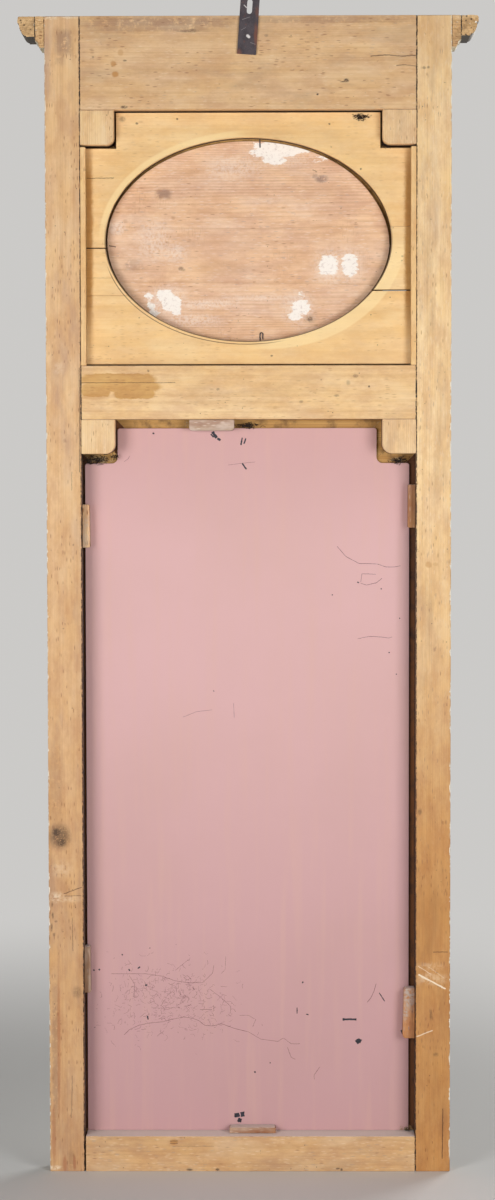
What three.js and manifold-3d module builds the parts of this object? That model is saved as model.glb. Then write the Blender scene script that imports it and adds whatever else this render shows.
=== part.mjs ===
// A trumeau mirror: a tall joined pine frame with a notched mirror glass below and an oval panel above.
// Millimetres. +X is right as seen from behind, +Y points out of the front, +Z is up.
// The origin is the middle of the bottom rail's underside, halfway through the frame's thickness.
// Left and right in the names are as seen from behind, the side that goes against the wall.
import * as THREE from 'three';
import { mergeVertices } from 'three/addons/utils/BufferGeometryUtils.js';
import Module from 'manifold-3d';

// Joined frame
const FRAME_W = 663;
const FRAME_H = 1900;
const FRAME_T = 45;
const STILE_W = 57;
const TOP_RAIL_H = 151;
const MID_RAIL_H = 87.5;
const BOTTOM_RAIL_H = 59;
const PANEL_OPENING_H = 415.5; // clear height between the mid rail and the top rail
const SEAM = 0.3; // gap left between pieces that touch
const OPEN_SHOULDER = 2.4; // the bottom rail has drawn away from the left stile by this much

// Mortise and tenon joints
const TENON_T = 15;
const TENON_L = 38;
const TENON_SHOULDER = 11; // wood above and below each tenon
const MORTISE_END_ROOM = 1.5; // mortise is deeper than its tenon by this

// Corner blocks that step the openings' corners
const BLOCK_W = 55.5;
const BLOCK_H = 56.5;
const UPPER_BLOCK_R = 12;
const LOWER_BLOCK_R = 16;

// Boards around the oval, laid in the upper opening from behind
const PANEL_DEPTH = 18; // boards lie this far below the frame's rear face
const PANEL_GAP = 3; // play between the boards and the rails
const PANEL_SIDE_GAP = 0.6;
const PANEL_NOTCH_GAP = 3; // play beside the upper corner blocks
const PANEL_UNDER_BLOCK_GAP = 4.5;
const STRIP_W = 9;
const STRIP_TOP_GAP = 3.5;
const STRIP_SET_BACK = 0.8; // strips stop this far below the frame's rear face
const LEFT_CRACK = 1.8; // open joint between upper board and left end piece
const RIGHT_CRACK = 2.3; // open joint between lower board and right end piece
const LEFT_JOINT_HIGH = -13.8; // joint heights, from the oval's centre
const LEFT_JOINT_LOW = -91.3;
const RIGHT_JOINT_HIGH = 20.7;
const RIGHT_JOINT_LOW = -83.3;

// Oval
const OVAL_W = 469;
const OVAL_H = 332;
const OVAL_DROP = 1.2; // oval's centre is this far below the middle of its opening
const OVAL_BOARD_T = 8;
const OVAL_BOARD_CLEAR = 2.2;
const OVAL_STEPS = 36; // half the straight facets of an oval edge
const NAIL_D = 1.8;
const NAIL_X = 19;
const NAIL_DRIVEN = 12;
const NAIL_STANDS = 14;
const NAIL_LEAN = 0.4;
const NAIL_BEND_R = 2.2;
const NAIL_TIP_CLEAR = 3; // the bent nail's tip stops this far above the edge of the opening

// Mirror glass
const GLASS_T = 5;
const GLASS_GAP_LEFT = 3.5;
const GLASS_GAP_RIGHT = 9.5;
const GLASS_GAP_TOP = 14.2;
const GLASS_NOTCH_GAP_LEFT = 2;
const GLASS_NOTCH_GAP_RIGHT = 8;
const GLASS_UNDER_BLOCK_GAP = 15.5;
const GLASS_NOTCH_R = 10;
const GLASS_CORNER_R = 4;

// Front mouldings, nailed on the frame's front and lapping over the glass and the boards
const MOULDING_ON_FRAME = 22;
const MIRROR_LIP = 25;
const MIRROR_MOULDING_H = 18;
const PANEL_LIP = 14;
const PANEL_MOULDING_H = 14;
const RING_LIP = 12; // oval moulding laps over the oval board by this
const RING_ON_BOARDS = 14;
const RING_H = 12;
const RING_EDGE_SHARE = 0.35; // outer edge's height, as a share of the moulding's

// Section of the straight mouldings; shares are of the moulding's own height or width
const EDGE_SHARE = 0.3; // outer fillet and inner lip
const ROUND_SHARE = 0.22; // radius of the round on top
const CREST_SHARE = 0.34; // where the round lies across the width
const FLAT_STEP = 2; // flat beside the cavetto and inside the ogee
const QUIRK_W = 1.5;
const QUIRK_DEEP = 1;

// Cornice of two layers, round the front and both sides of the top
const BACKING_T = 15.5;
const BACKING_H = 51;
const BACKING_FOOT = 7; // flat underside of the backing
const BACKING_CHAMFER_W = 1.6;
const BACKING_CHAMFER_H = 3;
const BACKING_STEP = 1; // between the chamfer and the cove
const BACKING_COVE_W = 5.4;
const BACKING_COVE_H = 8;
const OVOLO_T = 28;
const OVOLO_H = 33.5;
const OVOLO_FOOT = 14; // flat underside starts this far in from the fillet's face
const OVOLO_CURVE_W = 14.5;
const OVOLO_STEP = 1; // small step under the ovolo's curve
const FILLET_H = 12;
const FILLET_STANDS = 2.5; // fillet stands proud of the ovolo's curve by this
const FILLET_CHAMFER = 1.5;
const FILLET_TOP_R = 4;

// Iron hanging strap
const STRAP_W = 31;
const STRAP_T = 3;
const STRAP_X = 2; // where its centre line crosses the frame's top edge
const STRAP_TILT = THREE.MathUtils.degToRad(4);
const STRAP_BELOW = 63;
const STRAP_ABOVE = 38;
const SLOT_W = 8.5;
const SLOT_L = 24;
const SLOT_FOOT = 2; // slot starts this far above the frame's top edge
const SCREW_FIRST = 12; // first screw, below the frame's top edge
const SCREW_PITCH = 21.3;
const SCREW_D = 3.8;
const SCREW_HEAD_D = 8.4;
const SCREW_HEAD_H = 2.3; // countersunk heads, sunk just below the strap's rear face
const SCREW_SINK = 0.15;
const SCREW_L = 24;
const SCREW_POINT_L = 7;
const SCREW_CLEAR = 0.4;
const SCREW_SLOT_W = 1;
const SCREW_SLOT_DEEP = 0.9;

// Wooden blocks wedged behind the glass: wall, middle of the block along the wall, length,
// how far each end reaches from the wall, and how round its free corners are.
// On the side walls, at is measured up from the opening's bottom, or down from its top if negative.
const WEDGE_T = 21.7;
const WEDGES = [
  { name: 'wedge_left_upper', wall: 'left', at: -175, length: 71, low: 12, high: 11, round: 2 },
  { name: 'wedge_left_lower', wall: 'left', at: 275, length: 77, low: 10, high: 9, round: 1.5 },
  { name: 'wedge_right_upper', wall: 'right', at: -143, length: 71, low: 12.5, high: 12, round: 2 },
  { name: 'wedge_right_lower', wall: 'right', at: 202, length: 84, low: 20, high: 18, round: 5 },
  { name: 'wedge_top', wall: 'top', at: -61, length: 74, low: 18, high: 18, round: 5 },
  { name: 'wedge_bottom', wall: 'bottom', at: 4.5, length: 77, low: 10, high: 10, round: 3 },
];

// Places that follow from the sizes above
const REAR = -FRAME_T / 2;
const FRONT = FRAME_T / 2;
const OUTER = FRAME_W / 2;
const INNER = OUTER - STILE_W;
const TOP_RAIL_Z = FRAME_H - TOP_RAIL_H;
const MID_TOP_Z = TOP_RAIL_Z - PANEL_OPENING_H;
const MID_RAIL_Z = MID_TOP_Z - MID_RAIL_H;
const BLOCK_INNER = INNER - BLOCK_W;
const PANEL_REAR = REAR + PANEL_DEPTH;
const OVAL_Z = (MID_TOP_Z + TOP_RAIL_Z) / 2 - OVAL_DROP;
const GLASS_REAR = FRONT - GLASS_T;
const MOULDING_BACK = FRONT + SEAM;

const CURVE_STEPS = 4;
const ROUND_SIDES = 16;
const FAR = 2 * FRAME_H; // longer than anything that is cut

const COLOURS = {
  frame: { color: 0xd9b27c, roughness: 0.75 },
  boards: { color: 0xe8bf78, roughness: 0.7 },
  oval: { color: 0xdcae8b, roughness: 0.75 },
  block: { color: 0xcf9c6a, roughness: 0.8 },
  paint: { color: 0xe6dfcb, roughness: 0.6 },
  gilt: { color: 0xb8934a, roughness: 0.4, metalness: 0.7 },
  mirror: { color: 0xd3a8a5, roughness: 0.35 },
  iron: { color: 0x6f6c6e, roughness: 0.55, metalness: 0.8 },
};
const materials = Object.fromEntries(
  Object.entries(COLOURS).map(([name, look]) => [name, new THREE.MeshStandardMaterial(look)]),
);

const wasm = await Module();
wasm.setup();

const trumeau = new THREE.Group();

function addPiece(name, geometry, material, parent = trumeau) {
  const mesh = new THREE.Mesh(geometry, materials[material]);
  mesh.name = name;
  parent.add(mesh);
  return mesh;
}

// ---- solids ----

function toSolid(geometry) {
  const bare = geometry.clone();
  bare.deleteAttribute('normal');
  bare.deleteAttribute('uv');
  const merged = mergeVertices(bare, 1e-4);
  return new wasm.Manifold(new wasm.Mesh({
    numProp: 3,
    vertProperties: new Float32Array(merged.attributes.position.array),
    triVerts: new Uint32Array(merged.index.array),
  }));
}

function toGeometry(solid) {
  const mesh = solid.getMesh();
  const geometry = new THREE.BufferGeometry();
  geometry.setAttribute('position', new THREE.BufferAttribute(new Float32Array(mesh.vertProperties), 3));
  geometry.setIndex(new THREE.BufferAttribute(new Uint32Array(mesh.triVerts), 1));
  geometry.computeVertexNormals();
  return geometry;
}

function cut(geometry, tools) {
  return toGeometry(tools.reduce((solid, tool) => solid.subtract(toSolid(tool)), toSolid(geometry)));
}

function keep(geometry, tool) {
  return toGeometry(toSolid(geometry).intersect(toSolid(tool)));
}

function box(x0, x1, y0, y1, z0, z1) {
  const geometry = new THREE.BoxGeometry(x1 - x0, y1 - y0, z1 - z0);
  return geometry.translate((x0 + x1) / 2, (y0 + y1) / 2, (z0 + z1) / 2);
}

// An outline drawn in X and Z, made a plate between two depths
function plate(shape, yRear, yFront, curveSegments = CURVE_STEPS) {
  const depth = yFront - yRear;
  const geometry = new THREE.ExtrudeGeometry(shape, { depth, bevelEnabled: false, curveSegments });
  return geometry.rotateX(Math.PI / 2).translate(0, yFront, 0);
}

// A polygon whose corners are [x, z, radius]
function roundedShape(corners) {
  const shape = new THREE.Shape();
  corners.forEach(([x, z, radius = 0], i) => {
    const here = new THREE.Vector2(x, z);
    const before = new THREE.Vector2(...corners.at(i - 1).slice(0, 2));
    const after = new THREE.Vector2(...corners[(i + 1) % corners.length].slice(0, 2));
    const into = here.clone().sub(before).normalize();
    const out = after.sub(here).normalize();
    const turn = Math.sign(into.cross(out));
    const angle = Math.acos(THREE.MathUtils.clamp(into.dot(out), -1, 1));
    const start = here.clone().addScaledVector(into, -radius * Math.tan(angle / 2));
    if (i === 0) shape.moveTo(start.x, start.y);
    else shape.lineTo(start.x, start.y);
    if (radius === 0) return;
    const centre = start.clone().add(new THREE.Vector2(-into.y, into.x).multiplyScalar(turn * radius));
    const from = start.clone().sub(centre).angle();
    shape.absarc(centre.x, centre.y, radius, from, from + turn * angle, turn < 0);
  });
  shape.closePath();
  return shape;
}

function ellipse(halfWidth, halfHeight, z) {
  return new THREE.Shape().absellipse(0, z, halfWidth, halfHeight, 0, 2 * Math.PI, false, 0);
}

// A closed skin over rings of points. With a flat outline, the first and last rings are capped
// in its shape; without one, the last ring is joined to the first.
function skin(rings, outline = null) {
  const size = rings[0].length;
  const index = [];
  const joins = outline ? rings.length - 1 : rings.length;
  for (let i = 0; i < joins; i += 1) {
    for (let k = 0; k < size; k += 1) {
      const a = i * size + k;
      const b = i * size + ((k + 1) % size);
      const c = ((i + 1) % rings.length) * size + k;
      const d = ((i + 1) % rings.length) * size + ((k + 1) % size);
      index.push(a, c, b, b, c, d);
    }
  }
  if (outline) {
    const last = (rings.length - 1) * size;
    const clockwise = THREE.ShapeUtils.isClockWise(outline);
    for (const [a, p, q] of THREE.ShapeUtils.triangulateShape(outline, [])) {
      const [b, c] = clockwise ? [q, p] : [p, q];
      index.push(a, b, c, last + a, last + c, last + b);
    }
  }
  const geometry = new THREE.BufferGeometry();
  geometry.setAttribute('position', new THREE.Float32BufferAttribute(rings.flat(2), 3));
  geometry.setIndex(index);
  if (volumeOf(geometry) < 0) geometry.setIndex(index.reverse());
  geometry.computeVertexNormals();
  return geometry;
}

function volumeOf(geometry) {
  const corner = new THREE.Vector3();
  const corners = Array.from(geometry.index.array, (i) => (
    corner.fromBufferAttribute(geometry.attributes.position, i).clone()
  ));
  let volume = 0;
  for (let i = 0; i < corners.length; i += 3) {
    volume += corners[i].dot(corners[i + 1].clone().cross(corners[i + 2])) / 6;
  }
  return volume;
}

// ---- joined frame ----

const rails = [
  { name: 'top_rail', low: TOP_RAIL_Z, high: FRAME_H, leftGap: SEAM },
  { name: 'mid_rail', low: MID_RAIL_Z, high: MID_TOP_Z, leftGap: SEAM },
  { name: 'bottom_rail', low: 0, high: BOTTOM_RAIL_H, leftGap: OPEN_SHOULDER },
];

// The point at a distance up the hanging strap from the frame's top edge
function strapPoint(up) {
  return { x: STRAP_X + up * Math.sin(STRAP_TILT), z: FRAME_H + up * Math.cos(STRAP_TILT) };
}

const screwHeights = [0, 1, 2].map((i) => -SCREW_FIRST - i * SCREW_PITCH);

function screwHole(up) {
  const radius = SCREW_D / 2 + SCREW_CLEAR;
  const hole = new THREE.CylinderGeometry(radius, radius, SCREW_L, ROUND_SIDES);
  const { x, z } = strapPoint(up);
  return hole.translate(x, REAR + SCREW_L / 2 - STRAP_T / 2, z);
}

function rail({ name, low, high, leftGap }) {
  const body = box(-INNER + leftGap, INNER - SEAM, REAR, FRONT, low, high);
  const tenonLow = low + TENON_SHOULDER;
  const tenonHigh = high - TENON_SHOULDER;
  const reach = INNER + TENON_L;
  const tongue = box(-reach, reach, -TENON_T / 2, TENON_T / 2, tenonLow, tenonHigh);
  const whole = toGeometry(toSolid(body).add(toSolid(tongue)));
  return name === 'top_rail' ? cut(whole, screwHeights.map(screwHole)) : whole;
}

function mortise({ low, high }, side) {
  const near = INNER - 1;
  const far = INNER + TENON_L + MORTISE_END_ROOM;
  return box(
    Math.min(side * near, side * far),
    Math.max(side * near, side * far),
    -TENON_T / 2 - SEAM,
    TENON_T / 2 + SEAM,
    low + TENON_SHOULDER - SEAM,
    high - TENON_SHOULDER + SEAM,
  );
}

function stile(side) {
  const post = box(Math.min(side * INNER, side * OUTER), Math.max(side * INNER, side * OUTER),
    REAR, FRONT, 0, FRAME_H);
  return cut(post, rails.map((joined) => mortise(joined, side)));
}

function cornerBlock(side, railZ, radius) {
  const x0 = side * (INNER - SEAM);
  const x1 = side * BLOCK_INNER;
  const shape = roundedShape([
    [x0, railZ - SEAM],
    [x0, railZ - BLOCK_H],
    [x1, railZ - BLOCK_H, radius],
    [x1, railZ - SEAM],
  ]);
  return plate(shape, REAR, FRONT);
}

addPiece('left_stile', stile(-1), 'frame');
addPiece('right_stile', stile(1), 'frame');
for (const member of rails) addPiece(member.name, rail(member), 'frame');
for (const [sideName, side] of [['left', -1], ['right', 1]]) {
  addPiece(`upper_${sideName}_corner_block`, cornerBlock(side, TOP_RAIL_Z, UPPER_BLOCK_R), 'frame');
  addPiece(`lower_${sideName}_corner_block`, cornerBlock(side, MID_RAIL_Z, LOWER_BLOCK_R), 'frame');
}

// ---- boards around the oval, and the strips that hold them ----

function panelOutline() {
  const wide = INNER - PANEL_SIDE_GAP;
  const narrow = BLOCK_INNER - PANEL_NOTCH_GAP;
  const foot = MID_TOP_Z + PANEL_GAP;
  const shoulder = TOP_RAIL_Z - BLOCK_H - PANEL_UNDER_BLOCK_GAP;
  const head = TOP_RAIL_Z - PANEL_GAP;
  return roundedShape([
    [-wide, foot], [wide, foot], [wide, shoulder], [narrow, shoulder],
    [narrow, head], [-narrow, head], [-narrow, shoulder], [-wide, shoulder],
  ]);
}

function ovalPlug(halfWidth, halfHeight, z, yRear, yFront) {
  return plate(ellipse(halfWidth, halfHeight, z), yRear, yFront, OVAL_STEPS);
}

// A band of the boards with its own lowest and highest level on each side of the oval
function band(leftLow, rightLow, leftHigh, rightHigh) {
  const shape = roundedShape([
    [-FAR, leftLow], [0, leftLow], [0, rightLow], [FAR, rightLow],
    [FAR, rightHigh], [0, rightHigh], [0, leftHigh], [-FAR, leftHigh],
  ]);
  return plate(shape, REAR, FRONT + FAR);
}

const nailDepth = FRONT - OVAL_BOARD_T - SEAM - NAIL_D / 2;
const nailEdge = (OVAL_H / 2) * Math.sqrt(1 - (NAIL_X / (OVAL_W / 2)) ** 2);

function nailHole(side) {
  const radius = NAIL_D / 2 + SEAM;
  const near = nailEdge - 2;
  const far = nailEdge + NAIL_DRIVEN + SEAM;
  const hole = new THREE.CylinderGeometry(radius, radius, far - near, ROUND_SIDES);
  return hole.rotateX(Math.PI / 2).translate(NAIL_X, nailDepth, OVAL_Z + side * (near + far) / 2);
}

const ringOfBoards = cut(plate(panelOutline(), PANEL_REAR, FRONT), [
  ovalPlug(OVAL_W / 2, OVAL_H / 2, OVAL_Z, REAR, FRONT + 1),
  nailHole(1),
  nailHole(-1),
]);
const leftHigh = OVAL_Z + LEFT_JOINT_HIGH;
const leftLow = OVAL_Z + LEFT_JOINT_LOW;
const rightHigh = OVAL_Z + RIGHT_JOINT_HIGH;
const rightLow = OVAL_Z + RIGHT_JOINT_LOW;

const upperBand = band(leftHigh + LEFT_CRACK / 2, rightHigh + SEAM / 2, FRAME_H, FRAME_H);
const lowerBand = band(0, 0, leftLow - SEAM / 2, rightLow - RIGHT_CRACK / 2);
const leftBand = box(-FAR, 0, REAR, FAR, leftLow + SEAM / 2, leftHigh - LEFT_CRACK / 2);
const rightBand = box(0, FAR, REAR, FAR, rightLow + RIGHT_CRACK / 2, rightHigh - SEAM / 2);
addPiece('surround_upper_board', keep(ringOfBoards, upperBand), 'boards');
addPiece('surround_lower_board', keep(ringOfBoards, lowerBand), 'boards');
addPiece('surround_left_piece', keep(ringOfBoards, leftBand), 'boards');
addPiece('surround_right_piece', keep(ringOfBoards, rightBand), 'boards');

for (const [sideName, side] of [['left', -1], ['right', 1]]) {
  const inner = side * (INNER - STRIP_W);
  const outer = side * (INNER - SEAM);
  const strip = box(Math.min(inner, outer), Math.max(inner, outer),
    REAR + STRIP_SET_BACK, PANEL_REAR - SEAM,
    MID_TOP_Z + SEAM, TOP_RAIL_Z - BLOCK_H - STRIP_TOP_GAP);
  addPiece(`panel_strip_${sideName}`, strip, 'frame');
}

// ---- oval board and the nails bent over its back ----

const boardHalfW = OVAL_W / 2 - OVAL_BOARD_CLEAR;
const boardHalfH = OVAL_H / 2 - OVAL_BOARD_CLEAR;
const boardZ = OVAL_Z - OVAL_BOARD_CLEAR + SEAM; // it rests on the bottom of its opening
addPiece('oval_board', ovalPlug(boardHalfW, boardHalfH, boardZ, FRONT - OVAL_BOARD_T, FRONT), 'oval');

function wire(points, steps) {
  const section = new THREE.Shape().absarc(0, 0, NAIL_D / 2, 0, 2 * Math.PI);
  const extrudePath = new THREE.CatmullRomCurve3(points, false, 'centripetal');
  return new THREE.ExtrudeGeometry(section, { steps, extrudePath, curveSegments: CURVE_STEPS });
}

function nailPoint(x, up) {
  return new THREE.Vector3(NAIL_X + x, nailDepth, OVAL_Z + up);
}

const topNail = [
  nailPoint(0, nailEdge + NAIL_DRIVEN),
  nailPoint(0, nailEdge),
  nailPoint(NAIL_LEAN, nailEdge - NAIL_STANDS),
];
addPiece('oval_nail_top', wire(topNail, 6), 'iron');

// The lower nail is bent right over, like a hairpin
const BEND_STEPS = 6;
const bend = Array.from({ length: BEND_STEPS + 1 }, (_, i) => {
  const angle = Math.PI * (1 - i / BEND_STEPS);
  return nailPoint(
    NAIL_BEND_R + NAIL_BEND_R * Math.cos(angle),
    -nailEdge + NAIL_STANDS - NAIL_BEND_R + NAIL_BEND_R * Math.sin(angle),
  );
});
const bottomNail = [
  nailPoint(0, -nailEdge - NAIL_DRIVEN),
  nailPoint(0, -nailEdge),
  ...bend,
  nailPoint(2 * NAIL_BEND_R, -nailEdge + NAIL_TIP_CLEAR),
];
addPiece('oval_nail_bottom', wire(bottomNail, 30), 'iron');

// ---- mirror glass, silvered and painted on its back ----

function openingCorners(low, high) {
  // The clear opening as a polygon, anticlockwise, with its stepped upper corners
  const shoulder = high - BLOCK_H;
  return [
    [-INNER, low], [INNER, low], [INNER, shoulder], [BLOCK_INNER, shoulder],
    [BLOCK_INNER, high], [-BLOCK_INNER, high], [-BLOCK_INNER, shoulder], [-INNER, shoulder],
  ].map(([x, z]) => new THREE.Vector2(x, z));
}

function glassOutline() {
  const left = -INNER + GLASS_GAP_LEFT;
  const right = INNER - GLASS_GAP_RIGHT;
  const notchLeft = -BLOCK_INNER + GLASS_NOTCH_GAP_LEFT;
  const notchRight = BLOCK_INNER - GLASS_NOTCH_GAP_RIGHT;
  const shoulder = MID_RAIL_Z - BLOCK_H - GLASS_UNDER_BLOCK_GAP;
  const head = MID_RAIL_Z - GLASS_GAP_TOP;
  const foot = BOTTOM_RAIL_H + SEAM;
  return roundedShape([
    [left, foot], [right, foot], [right, shoulder, GLASS_CORNER_R], [notchRight, shoulder, GLASS_NOTCH_R],
    [notchRight, head, GLASS_CORNER_R], [notchLeft, head],
    [notchLeft, shoulder, GLASS_NOTCH_R], [left, shoulder],
  ]);
}
addPiece('mirror_glass', plate(glassOutline(), GLASS_REAR, FRONT), 'mirror');

// ---- wedge blocks behind the glass ----

const wallPlaces = {
  left: (along, reach) => [-INNER + SEAM + reach, along],
  right: (along, reach) => [INNER - SEAM - reach, along],
  top: (along, reach) => [along, MID_RAIL_Z - SEAM - reach],
  bottom: (along, reach) => [along, BOTTOM_RAIL_H + SEAM + reach],
};

function middleOfBlock(wall, at) {
  if (wall === 'top' || wall === 'bottom') return at;
  return at < 0 ? MID_RAIL_Z + at : BOTTOM_RAIL_H + at;
}

for (const { name, wall, at, length, low, high, round } of WEDGES) {
  const place = wallPlaces[wall];
  const middle = middleOfBlock(wall, at);
  const shape = roundedShape([
    [...place(middle - length / 2, 0)],
    [...place(middle + length / 2, 0)],
    [...place(middle + length / 2, high), round],
    [...place(middle - length / 2, low), round],
  ]);
  addPiece(name, plate(shape, GLASS_REAR - SEAM - WEDGE_T, GLASS_REAR - SEAM), 'block');
}

// ---- mitred mouldings ----

// One straight length between corners i and i + 1 of a path, mitred where it meets its neighbours.
// The profile is [away from the path to its left, height]; place turns plan points into space.
function mitredLength(path, closed, i, profile, place) {
  const count = path.length;
  const corner = (k) => path[(k + count) % count];
  const direction = (k) => corner(k + 1).clone().sub(corner(k)).normalize();
  const leftOf = (d) => new THREE.Vector2(-d.y, d.x);
  const mitre = (k, neighbour) => {
    const here = leftOf(direction(i));
    const isEnd = !closed && (k === 0 || k === count - 1);
    const other = isEnd ? here : leftOf(direction(neighbour));
    return here.clone().add(other).divideScalar(1 + here.dot(other));
  };
  const along = direction(i);
  const ring = (k, neighbour, gap) => {
    const shift = mitre(k, neighbour);
    return profile.map(([away, height]) => {
      const point = corner(k).clone().addScaledVector(shift, away).addScaledVector(along, gap);
      return place(point, height);
    });
  };
  const outline = profile.map(([away, height]) => new THREE.Vector2(away, height));
  return skin([ring(i, i - 1, SEAM / 2), ring(i + 1, i + 1, -SEAM / 2)], outline);
}

function arc(centreU, centreV, radiusU, radiusV, from, to, steps) {
  return Array.from({ length: steps + 1 }, (_, i) => {
    const angle = THREE.MathUtils.degToRad(from + (to - from) * (i / steps));
    return [centreU + radiusU * Math.cos(angle), centreV + radiusV * Math.sin(angle)];
  });
}

// A picture-frame profile: outer fillet, cavetto, round on top, quirk, then a long ogee to the lip
function frameMouldingProfile(outside, lip, height) {
  const edge = height * EDGE_SHARE;
  const topR = height * ROUND_SHARE;
  const topU = -outside + (outside + lip) * CREST_SHARE;
  const topV = height - topR;
  const coveU = -outside + FLAT_STEP;
  const ogeeU = topU + topR + QUIRK_W;
  const ogeeV = topV - QUIRK_DEEP;
  const ogeeW = lip - FLAT_STEP - ogeeU;
  const ogeeH = ogeeV - edge;
  return [
    [lip, 0],
    [-outside, 0],
    [-outside, edge],
    ...arc(coveU, topV, topU - topR - coveU, topV - edge, -90, 0, 4),
    ...arc(topU, topV, topR, topR, 165, 15, 5),
    [ogeeU, ogeeV],
    ...arc(ogeeU, edge + ogeeH / 2, ogeeW / 2, ogeeH / 2, 75, 15, 3),
    ...arc(ogeeU + ogeeW, edge + ogeeH / 2, ogeeW / 2, ogeeH / 2, -165, -90, 4),
    [lip, edge],
  ];
}

const runNames = [
  'bottom', 'right', 'right_notch_under', 'right_notch_side',
  'top', 'left_notch_side', 'left_notch_under', 'left',
];
const ontoFront = (point, height) => [point.x, MOULDING_BACK + height, point.y];

function addMouldings(prefix, corners, lip, height) {
  const profile = frameMouldingProfile(MOULDING_ON_FRAME, lip, height);
  runNames.forEach((run, i) => {
    addPiece(`${prefix}_${run}`, mitredLength(corners, true, i, profile, ontoFront), 'gilt');
  });
}

addMouldings('mirror_moulding', openingCorners(BOTTOM_RAIL_H, MID_RAIL_Z), MIRROR_LIP, MIRROR_MOULDING_H);
addMouldings('panel_moulding', openingCorners(MID_TOP_Z, TOP_RAIL_Z), PANEL_LIP, PANEL_MOULDING_H);

// ---- oval moulding ----

function ovalMoulding() {
  const topU = (RING_ON_BOARDS - RING_LIP) / 2;
  const edge = RING_H * RING_EDGE_SHARE;
  const profile = [
    [-RING_LIP, 0],
    [RING_ON_BOARDS, 0],
    [RING_ON_BOARDS, edge],
    ...arc(topU, edge, RING_ON_BOARDS - topU - QUIRK_W, RING_H - edge, 0, 180, 8),
    [-RING_LIP, edge],
  ];
  const count = 2 * OVAL_STEPS;
  const rings = Array.from({ length: count }, (_, i) => {
    const angle = (2 * Math.PI * i) / count;
    const x = (OVAL_W / 2) * Math.cos(angle);
    const z = (OVAL_H / 2) * Math.sin(angle);
    const normal = new THREE.Vector2(Math.cos(angle) / OVAL_W, Math.sin(angle) / OVAL_H).normalize();
    return profile.map(([u, v]) => [x + normal.x * u, MOULDING_BACK + v, OVAL_Z + z + normal.y * u]);
  });
  return skin(rings);
}
addPiece('oval_moulding', ovalMoulding(), 'gilt');

// ---- cornice ----

// Plan of the cornice: forward along one side, across the front, back along the other side
const corniceCorners = [
  [OUTER, REAR], [OUTER, FRONT], [-OUTER, FRONT], [-OUTER, REAR],
].map(([x, y]) => new THREE.Vector2(x, y));
const corniceRuns = ['right', 'front', 'left'];
const besideTop = (point, height) => [point.x, point.y, FRAME_H + height];

// Profiles run outwards from the frame, which lies to the left of the path, so outwards is negative
const coveFoot = -BACKING_H + BACKING_CHAMFER_H + BACKING_STEP;
const backingProfile = [
  [-SEAM, 0],
  [-SEAM, -BACKING_H],
  [-SEAM - BACKING_FOOT, -BACKING_H],
  [-SEAM - BACKING_FOOT - BACKING_CHAMFER_W, -BACKING_H + BACKING_CHAMFER_H],
  ...arc(-BACKING_T, coveFoot, BACKING_COVE_W, BACKING_COVE_H, 0, 90, 3),
  [-BACKING_T, 0],
];
const ovoloBack = -BACKING_T - SEAM;
const ovoloFace = -BACKING_T - OVOLO_T;
const curveTop = -FILLET_H - FILLET_CHAMFER;
const curveH = OVOLO_H + curveTop - OVOLO_STEP;
const ovoloProfile = [
  [ovoloBack, 0],
  [ovoloBack, -OVOLO_H],
  [ovoloFace + OVOLO_FOOT, -OVOLO_H],
  ...arc(ovoloFace + FILLET_STANDS + OVOLO_CURVE_W, curveTop, OVOLO_CURVE_W, curveH, 258, 180, 6),
  [ovoloFace + FILLET_STANDS, -FILLET_H],
  [ovoloFace, -FILLET_H + FILLET_CHAMFER],
  ...arc(ovoloFace + FILLET_TOP_R, -FILLET_TOP_R, FILLET_TOP_R, FILLET_TOP_R, 180, 90, 3),
];

corniceRuns.forEach((run, i) => {
  const length = (profile) => mitredLength(corniceCorners, false, i, profile, besideTop);
  addPiece(`cornice_backing_${run}`, length(backingProfile), 'paint');
  addPiece(`cornice_ovolo_${run}`, length(ovoloProfile), 'gilt');
});

// ---- iron hanging strap and its screws ----

const hanger = new THREE.Group();
hanger.position.set(STRAP_X, 0, FRAME_H);
hanger.rotation.y = STRAP_TILT;
trumeau.add(hanger);

function strapShape() {
  const half = STRAP_W / 2;
  const shape = roundedShape([
    [-half, -STRAP_BELOW, 1], [half, -STRAP_BELOW, 1],
    [half, STRAP_ABOVE, 9], [-half, STRAP_ABOVE, 9],
  ]);
  const low = SLOT_FOOT + SLOT_W / 2;
  const high = SLOT_FOOT + SLOT_L - SLOT_W / 2;
  const slot = new THREE.Path();
  slot.absarc(0, high, SLOT_W / 2, 0, Math.PI);
  slot.absarc(0, low, SLOT_W / 2, Math.PI, 2 * Math.PI);
  slot.closePath();
  shape.holes.push(slot);
  return shape;
}

const strapFront = REAR - SEAM;
const strapRear = strapFront - STRAP_T;
const headTop = strapRear + SCREW_SINK;

// A turned solid: from its top, a wide cylinder down to the head's level, a cone, then the shank,
// whose far end is given. grow makes it a hole for the same screw.
function countersunk(top, grow, end) {
  const headR = SCREW_HEAD_D / 2 + grow;
  const shankR = SCREW_D / 2 + grow;
  const head = top < headTop ? [[headR, top], [headR, headTop]] : [[headR, headTop]];
  const profile = [[0, top], ...head, [shankR, headTop + SCREW_HEAD_H], ...end(shankR)];
  return new THREE.LatheGeometry(profile.map(([radius, y]) => new THREE.Vector2(radius, y)), ROUND_SIDES);
}

function strapHole(up) {
  const through = strapFront + 1;
  return countersunk(strapRear - 1, SCREW_CLEAR, (shankR) => [[shankR, through], [0, through]])
    .translate(0, 0, up);
}

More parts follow.
